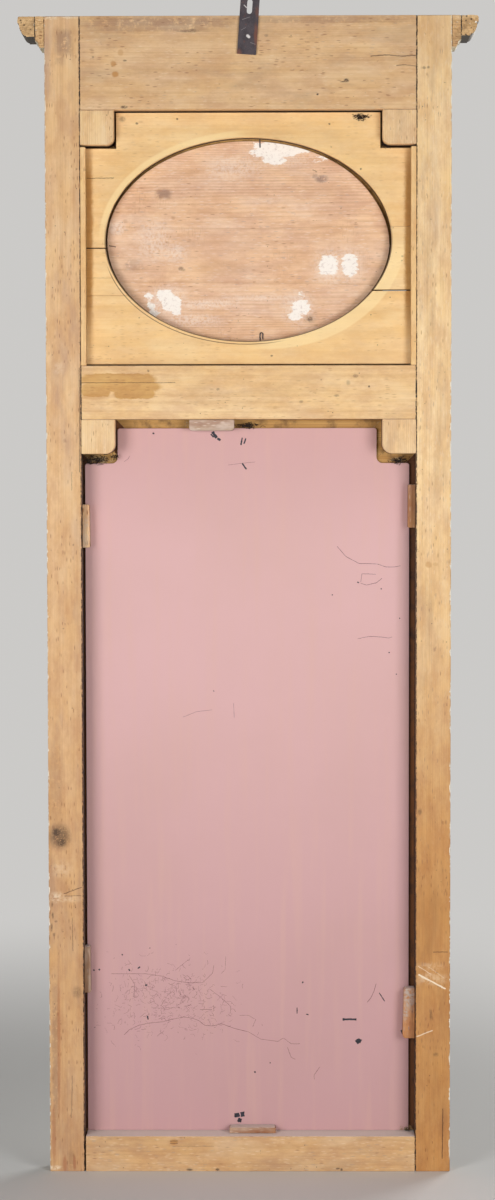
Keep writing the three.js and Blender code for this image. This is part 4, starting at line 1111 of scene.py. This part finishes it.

# ---- Wedges round the glass ----
# Six softwood blocks glued between the frame and the glass to hold it. They are dusty, and their
# sides darken further in with painted shade.
WEDGE_REAR, WEDGE_FRONT = -4.5, 17.2
WALL = 274.2
WEDGE_PINE = {"pale": "#C59C7C", "deep": "#A9775A", "late": "#8A5A38", "grime": "#7D5A45", "chalk": "#D9C2AE"}
WEDGES = {
    "wedge_left_upper": ([(-WALL, 1106.5, 0), (-WALL, 1035.5, 0), (-WALL + 12, 1035.5, 2),
                          (-WALL + 11, 1106.5, 2)],
                         "Z", {"pale": "#FFDDB0", "deep": "#F5C08C", "grime": "#C08A60"},
                         [(-268, 1075, 5, 8, 0.5), (-267, 1050, 5, 6, 0.5)]),
    "wedge_left_lower": ([(-WALL, 372.5, 0), (-WALL, 295.5, 0), (-WALL + 10, 295.5, 1.5),
                          (-WALL + 9, 372.5, 1.5)], "Z", {"pale": "#A9825E", "deep": "#8A6244"}),
    "wedge_right_upper": ([(WALL, 1067.5, 0), (WALL, 1138.5, 0), (WALL - 12, 1138.5, 2),
                           (WALL - 12.5, 1067.5, 2)], "Z", {"pale": "#CB9668", "deep": "#A0703F"}),
    "wedge_right_lower": ([(WALL, 219, 0), (WALL, 303, 0), (WALL - 18, 303, 5), (WALL - 20, 219, 5)],
                          "Z", {"pale": "#DCA068", "deep": "#C27C42", "chalk": "#BBAEA4"},
                          [(264, 290, 9, 22, 0.9), (258, 262, 5, 12, 0.8)]),
    "wedge_top": ([(-98, 1245.7, 0), (-98, 1227.7, 5), (-24, 1227.7, 5), (-24, 1245.7, 0)],
                  "X", {"pale": "#BFA792", "deep": "#AA8B76", "late": "#8A6E5C", "grime": "#8B7A70",
                        "chalk": "#E9DCD0"}),
    "wedge_bottom": ([(-34, 59.3, 0), (43, 59.3, 0), (43, 69.3, 3), (-34, 69.3, 3)],
                     "X", {"pale": "#AC7C56", "deep": "#946440"}),
}
for i, (node, (corners, along, look, *greyed)) in enumerate(WEDGES.items()):
    solid = slab(rounded(corners, 6), WEDGE_REAR, WEDGE_FRONT)
    solid = aged(solid, along, ease=0.9, step=2.5, wear=0.6, chips=1.0)
    material = pine(node + "_pine", along, (60 * i, 40, 90 * i - 200), {**WEDGE_PINE, **look}, ring=2.6,
                    late=0.4, grime=0.5, holed=0.6, coat=None, dirt=(6, 20), rub=0.6, mottled=0.9,
                    flecked=1.0, smears=greyed[0] if greyed else ())
    make_piece(node + "_wood", solid, material, "wedge_wood", node)

# ---- Mouldings round the openings ----
# Eight mitred lengths round each stepped opening, pinned to the front. Their backs are bare and show
# as a narrow lip inside the opening; the front is gessoed and gilded, and worn through in places.
MOULDING_REAR = 22.8
MITRE_GAP = 0.15
OUTSIDE = 22
NOTCH = 56.5
MOULDINGS = {
    "mirror": (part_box("bottom_rail")[1].z / MM, MID_RAIL_LOW, 25, 18),
    "panel": (MID_RAIL_HIGH, TOP_RAIL_LOW, 14, 14),
}


def section(name, points):
    """A closed outline (u, v) in millimetres as a mesh of edges, for a tree to sweep."""
    mesh = bpy.data.meshes.new(name)
    count = len(points)
    edges = [(i, (i + 1) % count) for i in range(count)]
    mesh.from_pydata([(u * MM, v * MM, 0) for u, v in points], edges, [])
    return mesh


def arc(u, v, reach_u, reach_v, start, end, steps=8):
    """Points on part of an ellipse, between two angles in degrees."""
    angles = [math.radians(start + (end - start) * i / steps) for i in range(steps + 1)]
    return [(u + reach_u * math.cos(a), v + reach_v * math.sin(a)) for a in angles]


def wear_away(tree, geometry, wear):
    """Moves the surface inwards here and there by up to the wear."""
    spot = grow(tree, "InputPosition")
    uneven = add(tree, "TexNoise", {"Vector": spot, "Scale": 55.0, "Detail": 3.0}).outputs["Fac"]
    amount = times(fade(uneven, 0.48, 0.8), times(wear, -1.0))
    moved = scaled(grow(tree, "InputNormal"), amount)
    return grow(tree, "SetPosition", {"Geometry": geometry, "Offset": moved})


# Sweeps a section along a straight line, with each end cut to its mitre
moulding_run, given = new_tree("moulding_run", {
    "Start": ("Vector", (0, 0, 0)), "End": ("Vector", (1, 0, 0)), "Side": ("Vector", (0, 1, 0)),
    "Rise": ("Vector", (0, 0, 1)), "Start Mitre": ("Float", 0.0), "End Mitre": ("Float", 0.0),
    "Step": ("Float", 0.012), "Wear": ("Float", 0.0004)})
tree = moulding_run
whole = vectors("SUBTRACT", given["End"], given["Start"])
length = vectors("LENGTH", whole)
reached = add(tree, "CombineXYZ", {"X": length}).outputs[0]
path = grow(tree, "CurvePrimitiveLine", {"End": reached})
path = grow(tree, "ResampleCurve", {"Curve": path, "Length": given["Step"]}, mode="LENGTH")
outline = grow(tree, "MeshToCurve", {"Mesh": given["Geometry"]})
swept = grow(tree, "CurveToMesh", {"Curve": path, "Profile Curve": outline, "Fill Caps": True})
at = parts_of(grow(tree, "InputPosition"))
u, v = times(at["Y"], -1.0), times(at["Z"], -1.0)
share = maths("DIVIDE", at["X"], length)
change = minus(given["End Mitre"], given["Start Mitre"])
mitre = plus(given["Start Mitre"], times(change, share))
along = plus(at["X"], times(u, mitre))
spot = vectors("ADD", given["Start"], scaled(vectors("NORMALIZE", whole), along))
spot = vectors("ADD", spot, scaled(given["Side"], u))
spot = vectors("ADD", spot, scaled(given["Rise"], v))
laid = grow(tree, "SetPosition", {"Geometry": swept, "Position": spot})
close_tree(tree, given, wear_away(tree, laid, given["Wear"]))


def gilded(name, bare_to, look, along="X", gesso_from=None, underside_shade=0.0):
    """Worn gilding on gesso, over wood that is bare behind a certain depth."""
    material, tree, shader, position = start_material(name)
    xyz = parts_of(position)
    turned = add(tree, "Mapping", {"Vector": position, "Location": (0, 45, 0), "Rotation": grain_turn(along)})
    wood = use(grain, position=turned.outputs[0])
    bare = tint(fade(wood["Figure"], 0.3, 0.75), look["pale"], look["deep"])
    bare = tint(times(wood["Late Wood"], 0.4), bare, look["late"])
    filth = cloud(position, (25, 25, 25), 5, 0.65)["Fac"]
    bare = tint(times(fade(filth, 0.45, 0.7), 0.7), bare, look["grime"])
    pins = use(holes, position=position, spacing=30.0, radius=1.3, share=0.3)["Mask"]
    if gesso_from:
        crumbs = use(holes, position=ragged(position, 3, 3), spacing=6.0, radius=2.0, share=0.5)["Mask"]
        bare = tint(times(crumbs, 0.85), bare, "#3A2616")
    bare = tint(pins, bare, "#1E120A")
    paint = use(old_paint, position=position, cell=17.0)
    leaf = tint(fade(paint["Dirt"], 0.35, 0.72), "#D2A855", "#8C6A34")
    rubbed = fade(cloud(position, (11, 11, 11), 5, 0.7)["Fac"], 0.55, 0.66)
    leaf = tint(rubbed, leaf, "#7E3A24")
    leaf = tint(times(paint["Crack"], 0.7), leaf, "#3D2A18")
    leaf = tint(paint["Worn"], leaf, "#E9E0CE")
    uneven = plus(xyz["Y"], times(filth, -2.0))
    if gesso_from:
        bare = tint(fade(uneven, gesso_from, gesso_from + 0.4), bare, "#F1E9DC")
    coat = fade(uneven, bare_to, bare_to + 0.5)
    facing = parts_of(add(tree, "NewGeometry").outputs["Normal"])
    # Painted shade: faces that turn down darken almost to black.
    painted_underside_shade = times(fade(facing["Z"], -0.25, -0.7), underside_shade)
    colour = tint(painted_underside_shade, tint(coat, bare, leaf), "#1E160C")
    plug(shader["Base Color"], colour)
    spoiled = strongest([rubbed, paint["Worn"], paint["Crack"], painted_underside_shade])
    metal = times(coat, times(minus(1.0, spoiled), 0.8))
    plug(shader["Metallic"], metal)
    plug(shader["Roughness"], minus(0.68, times(metal, 0.38)))
    height = minus(times(wood["Fibre"], 0.4), times(larger(paint["Crack"], paint["Worn"]), coat))
    plug(shader["Normal"], add(tree, "Bump", {
        "Height": height, "Strength": 0.6, "Distance": 0.0003}).outputs[0])
    return material


def moulding_section(lip, height):
    """A hollow, a small round and an ogee, from the outer edge to the lip."""
    edge, top_round = 0.3 * height, 0.22 * height
    top_u, top_v = -OUTSIDE + (OUTSIDE + lip) * 0.34, height - top_round
    cove_u = -20
    ogee_u, ogee_v = top_u + top_round + 1.5, top_v - 1
    ogee_w, ogee_h = lip - 2 - ogee_u, ogee_v - edge
    middle = edge + ogee_h / 2
    return [
        (lip, 0), (-OUTSIDE, 0), (-OUTSIDE, edge),
        *arc(cove_u, top_v, top_u - top_round - cove_u, top_v - edge, -90, 0),
        *arc(top_u, top_v, top_round, top_round, 165, 15),
        (ogee_u, ogee_v),
        *arc(ogee_u, middle, ogee_w / 2, ogee_h / 2, 75, 15),
        *arc(ogee_u + ogee_w, middle, ogee_w / 2, ogee_h / 2, -165, -90),
        (lip, edge),
    ]


LIP_WOOD = {"pale": "#D2A35F", "deep": "#B27F3E", "late": "#8A5A24", "grime": "#5B3C1E"}
# The upright runs get a darker copy of the lip wood, painted shade for their backs deep in the gaps.
LIP_IN_PAINTED_SHADE = {"pale": "#7A4514", "deep": "#5E320C", "late": "#421F06", "grime": "#2A1406"}
lip_across = gilded("gilt_moulding_across", MOULDING_REAR, LIP_WOOD, along="X")
lip_in_painted_shade = gilded("gilt_moulding_upright", MOULDING_REAR, LIP_IN_PAINTED_SHADE, along="Z")
RUN_NAMES = ["bottom", "right", "right_notch_under", "right_notch_side", "top",
             "left_notch_side", "left_notch_under", "left"]
RUNS_IN_PAINTED_SHADE = ("left", "right", "left_notch_side")
for opening, (low_z, high_z, lip, height) in MOULDINGS.items():
    outline = section(f"{opening}_moulding_section", moulding_section(lip, height))
    inner, outer = NOTCH_X + 3, STILE_INNER
    corners = [Vector(corner) for corner in (
        (-outer, low_z), (outer, low_z), (outer, high_z - NOTCH), (inner, high_z - NOTCH), (inner, high_z),
        (-inner, high_z), (-inner, high_z - NOTCH), (-outer, high_z - NOTCH))]
    ways = [(corners[(i + 1) % 8] - corners[i]).normalized() for i in range(8)]
    for i, run_name in enumerate(RUN_NAMES):
        way = ways[i]
        turn_in = math.copysign(1, ways[i - 1].cross(way))
        turn_out = math.copysign(1, way.cross(ways[(i + 1) % 8]))
        first = corners[i] + way * MITRE_GAP
        last = corners[(i + 1) % 8] - way * MITRE_GAP
        mesh = grown(
            moulding_run, outline, start=(first.x * MM, MOULDING_REAR * MM, first.y * MM),
            end=(last.x * MM, MOULDING_REAR * MM, last.y * MM), side=(-way.y, 0, way.x), rise=(0, 1, 0),
            start_mitre=turn_in, end_mitre=-turn_out,
            material=lip_in_painted_shade if run_name in RUNS_IN_PAINTED_SHADE else lip_across)
        node = f"{opening}_moulding_{run_name}"
        set_piece(node + "_gilt", mesh, "gilt_wood", node)

# ---- Moulding round the oval ----
# A turned-looking ring planted on the front of the boards round the oval, gessoed and gilded too.
RING_STEPS = 180
oval_ring, given = new_tree("oval_ring", {
    "Half Width": ("Float", 0.2), "Half Height": ("Float", 0.1), "Centre": ("Vector", (0, 0, 0)),
    "Steps": ("Int", 96), "Wear": ("Float", 0.0003)})
tree = oval_ring
path = grow(tree, "CurvePrimitiveLine", {"End": (1, 0, 0)})
path = grow(tree, "ResampleCurve", {"Curve": path, "Count": given["Steps"]}, mode="COUNT")
outline = grow(tree, "MeshToCurve", {"Mesh": given["Geometry"]})
swept = grow(tree, "CurveToMesh", {"Curve": path, "Profile Curve": outline, "Fill Caps": False})
at = parts_of(grow(tree, "InputPosition"))
angle = times(at["X"], 2 * math.pi)
across, up = maths("COSINE", angle), maths("SINE", angle)
on_oval = add(tree, "CombineXYZ", {"X": times(across, given["Half Width"]),
                                   "Z": times(up, given["Half Height"])}).outputs[0]
outwards = add(tree, "CombineXYZ", {"X": times(across, given["Half Height"]),
                                    "Z": times(up, given["Half Width"])}).outputs[0]
outwards = vectors("NORMALIZE", outwards)
spot = vectors("ADD", vectors("ADD", given["Centre"], on_oval),
               scaled(outwards, times(at["Y"], -1.0)))
spot = vectors("ADD", spot, add(tree, "CombineXYZ", {"Y": times(at["Z"], -1.0)}).outputs[0])
laid = grow(tree, "SetPosition", {"Geometry": swept, "Position": spot})
joined = grow(tree, "MergeByDistance", {"Geometry": laid, "Distance": 0.00005})
close_tree(tree, given, wear_away(tree, joined, given["Wear"]))
outline = section("oval_moulding_section", [
    (-12, 0), (14, 0), (14, 4.2), *arc(1, 4.2, 11.5, 7.8, 0, 180, 16), (-12, 4.2)])
mesh = grown(oval_ring, outline, half_width=OVAL_HALF_W * MM, half_height=OVAL_HALF_H * MM,
             centre=(0, MOULDING_REAR * MM, OVAL_Z * MM), steps=RING_STEPS, material=lip_across)
set_piece("oval_moulding_gilt", mesh, "gilt_wood", "oval_moulding")

# ---- Cornice ----
# Two layers of moulding run across the front and return along both sides: a painted backing and a
# gilded ovolo. From behind only the sawn ends of the returns show, beside the top of the stiles.
BACKING = [(0.3, 0), (0.3, -51), (7.3, -51), (8.9, -48),
           *[(-u, v) for u, v in arc(-15.5, -47, 5.4, 8, 0, 90)], (15.5, 0)]
OVOLO = [(15.8, 0), (15.8, -33.5), (29.5, -33.5),
         *[(-u, v) for u, v in arc(-26.5, -13.5, 14.5, 19, 258, 180)],
         (41, -12), (43.5, -10.5), *[(-u, v) for u, v in arc(-39.5, -4, 4, 4, 180, 90)]]
END_WOOD = {"pale": "#E2BC88", "deep": "#C99F6A", "late": "#8A6237", "grime": "#7A5A3A", "chalk": "#F1E6D2"}


def gridded(mesh, step):
    """Cuts a small piece into cells, so that its sawn ends can crumble too."""
    bm = bmesh.new()
    bm.from_mesh(mesh)
    for axis in range(3):
        normal = Vector([1.0 if i == axis else 0.0 for i in range(3)])
        low = min(v.co[axis] for v in bm.verts)
        high = max(v.co[axis] for v in bm.verts)
        for i in range(1, math.ceil((high - low) / step)):
            everything = bm.verts[:] + bm.edges[:] + bm.faces[:]
            bmesh.ops.bisect_plane(bm, geom=everything, dist=1e-6, plane_co=normal * (low + i * step),
                                   plane_no=normal)
    return bm


def crumbled(bm, rear, depth):
    """Eats into the sawn end that faces back, most along its rim."""
    bm.normal_update()
    for v in bm.verts:
        if v.co.y < (rear + 4) * MM:
            rough = max(0.0, noise.noise(v.co * 190) + 0.25)
            pitted = max(0.0, noise.noise(v.co * 420 + Vector((3, 9, 2)))) * 0.8
            v.co -= v.normal * depth * MM * (rough + pitted)


cream_cornice = pine("cornice_backing_wood", "X", (0, 40, -1870), END_WOOD, ring=2.5, late=0.5, grime=0.7,
                     coat="cornice", seam=STILE_OUTER + 15.4, holed=0.5, flecked=1.0)
gilt_cornice = gilded("gilt_cornice", REAR + 5, END_WOOD, gesso_from=REAR + 0.7, underside_shade=0.95)
CORNICE_RUNS = {
    "front": ((-STILE_OUTER, FRONT), (STILE_OUTER, FRONT), (0, 1, 0), -1, 1),
    "right": ((STILE_OUTER, FRONT), (STILE_OUTER, REAR), (1, 0, 0), -1, 0),
    "left": ((-STILE_OUTER, REAR), (-STILE_OUTER, FRONT), (-1, 0, 0), 0, 1),
}
for layer, outline, material, slot, ending in (
        ("backing", BACKING, cream_cornice, "painted_wood", "painted"),
        ("ovolo", OVOLO, gilt_cornice, "gilt_wood", "gilt")):
    outline = section(f"cornice_{layer}_section", outline)
    for run_name, (first, last, side, start_mitre, end_mitre) in CORNICE_RUNS.items():
        first, last = Vector(first), Vector(last)
        way = (last - first).normalized() * MITRE_GAP
        first, last = first + way, last - way
        mesh = grown(moulding_run, outline, start=(first.x * MM, first.y * MM, FRAME_TOP * MM),
                     end=(last.x * MM, last.y * MM, FRAME_TOP * MM), side=side, rise=(0, 0, 1),
                     start_mitre=start_mitre, end_mitre=end_mitre, material=material)
        if run_name != "front":
            bm = gridded(mesh, 2.2 * MM)
            crumbled(bm, REAR, 1.8)
            bm.to_mesh(mesh)
            bm.free()
        node = f"cornice_{layer}_{run_name}"
        set_piece(f"{node}_{ending}", mesh, slot, node)

# ---- Hanging strap ----
# A flat iron strap screwed to the back of the top rail, with an upright slot for the wall hook in
# its free end. It is dark and dull, with a little rust along its edges.
iron, tree, shader, position = start_material("old_iron")
mottle = cloud(position, (14, 14, 18), 5, 0.65)["Fac"]
colour = tint(fade(mottle, 0.35, 0.7), "#4D4549", "#393338")
fine = cloud(position, (1.6, 1.6, 1.6), 3, 0.6)["Fac"]
colour = tint(times(fade(fine, 0.5, 0.75), 0.3), colour, "#7B7072")
loose = ragged(position, 6, 5)
rusty = blots(loose, [(13, 1868, 3, 16, 0.7), (-16, 1840, 5, 6, 0.6), (15, 1905, 3, 8, 0.4)], 0.2, 0.6)
rusty = larger(rusty, times(fade(cloud(position, (9, 9, 9), 5, 0.7)["Fac"], 0.6, 0.7), 0.5))
colour = tint(rusty, colour, "#7A4630")
# Pale scratches, and a painted glint on the head of the middle screw (the last, widest line).
colour = tint(lines(position, [
    (-6, 1916, -2, 1912, 1.0, 0.8), (-9, 1893, 3, 1897, 0.4, 0.4), (4, 1856, 12, 1853, 0.4, 0.4),
    (-11, 1876, -4, 1880, 0.4, 0.35), (-0.5, 1867, 1.5, 1865, 3.2, 1.0)]), colour, "#D9D3D0")
plug(shader["Base Color"], colour)
plug(shader["Metallic"], times(minus(1.0, rusty), 0.45))
plug(shader["Roughness"], plus(0.42, times(mottle, 0.3)))
plug(shader["Normal"], add(tree, "Bump", {
    "Height": plus(mottle, times(fine, 0.4)), "Strength": 0.5, "Distance": 0.0004}).outputs[0])
solid = solid_of("hanging_strap")
eased(solid, 0.45 * MM)
worn(solid, "Z", 4 * MM, 0.2 * MM, 0.35 * MM)
make_piece("hanging_strap_iron", solid, iron, "iron", "hanging_strap")

# ---- Screws of the strap ----
# Three countersunk wood screws with slotted heads, driven flush with the strap.
screws, given = new_tree("countersunk_screws", {
    "Head": ("Float", 0.0091), "Head Depth": ("Float", 0.0023), "Shank": ("Float", 0.0038),
    "Length": ("Float", 0.021), "First Turn": ("Float", 0.4), "Next Turn": ("Float", 1.3)})
tree = screws
half = times(given["Head"], 0.5)
thin = times(given["Shank"], 0.5)
head = grow(tree, "MeshCone", {"Vertices": 40, "Radius Top": thin, "Radius Bottom": half,
                               "Depth": given["Head Depth"]})
shank = grow(tree, "MeshCylinder", {"Vertices": 16, "Radius": thin, "Depth": given["Length"]})
middle = plus(given["Head Depth"], times(given["Length"], 0.5))
down = add(tree, "CombineXYZ", {"Z": minus(middle, 0.0004)}).outputs[0]
shank = grow(tree, "Transform", {"Geometry": shank, "Translation": down})
slot = grow(tree, "MeshCube", {"Size": (0.02, 0.0008, 0.0008)})
slotted = grow(tree, "MeshBoolean", {"Mesh 1": head, "Mesh 2": slot}, operation="DIFFERENCE")
cut = grow(tree, "JoinGeometry", {"Geometry": slotted})
tree.links.new(shank, cut.node.inputs[0])
points = grow(tree, "MeshToPoints", {"Mesh": given["Geometry"]})
turn = plus(given["First Turn"], times(grow(tree, "InputIndex"), given["Next Turn"]))
turn = add(tree, "CombineXYZ", {"X": -math.pi / 2, "Y": turn}).outputs[0]
placed = grow(tree, "InstanceOnPoints", {"Points": points, "Instance": cut, "Rotation": turn})
close_tree(tree, given, placed)
screw_nodes = ("hanger_screw_1", "hanger_screw_2", "hanger_screw_3")
spots = bpy.data.meshes.new("screw_spots")
screw_boxes = [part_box(node) for node in screw_nodes]
spots.from_pydata([((low.x + high.x) / 2, low.y, (low.z + high.z) / 2) for low, high in screw_boxes], [], [])
set_piece("hanger_screws", grown(screws, spots, material=iron), "iron", *screw_nodes)

# ---- Nails over the oval board ----
# Two thin wire nails driven into the boards and bent over the oval board to hold it. Their shapes
# are the frame's own; they only need their dark iron.
for node in ("oval_nail_top", "oval_nail_bottom"):
    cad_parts[node].data.materials.clear()
    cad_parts[node].data.materials.append(iron)
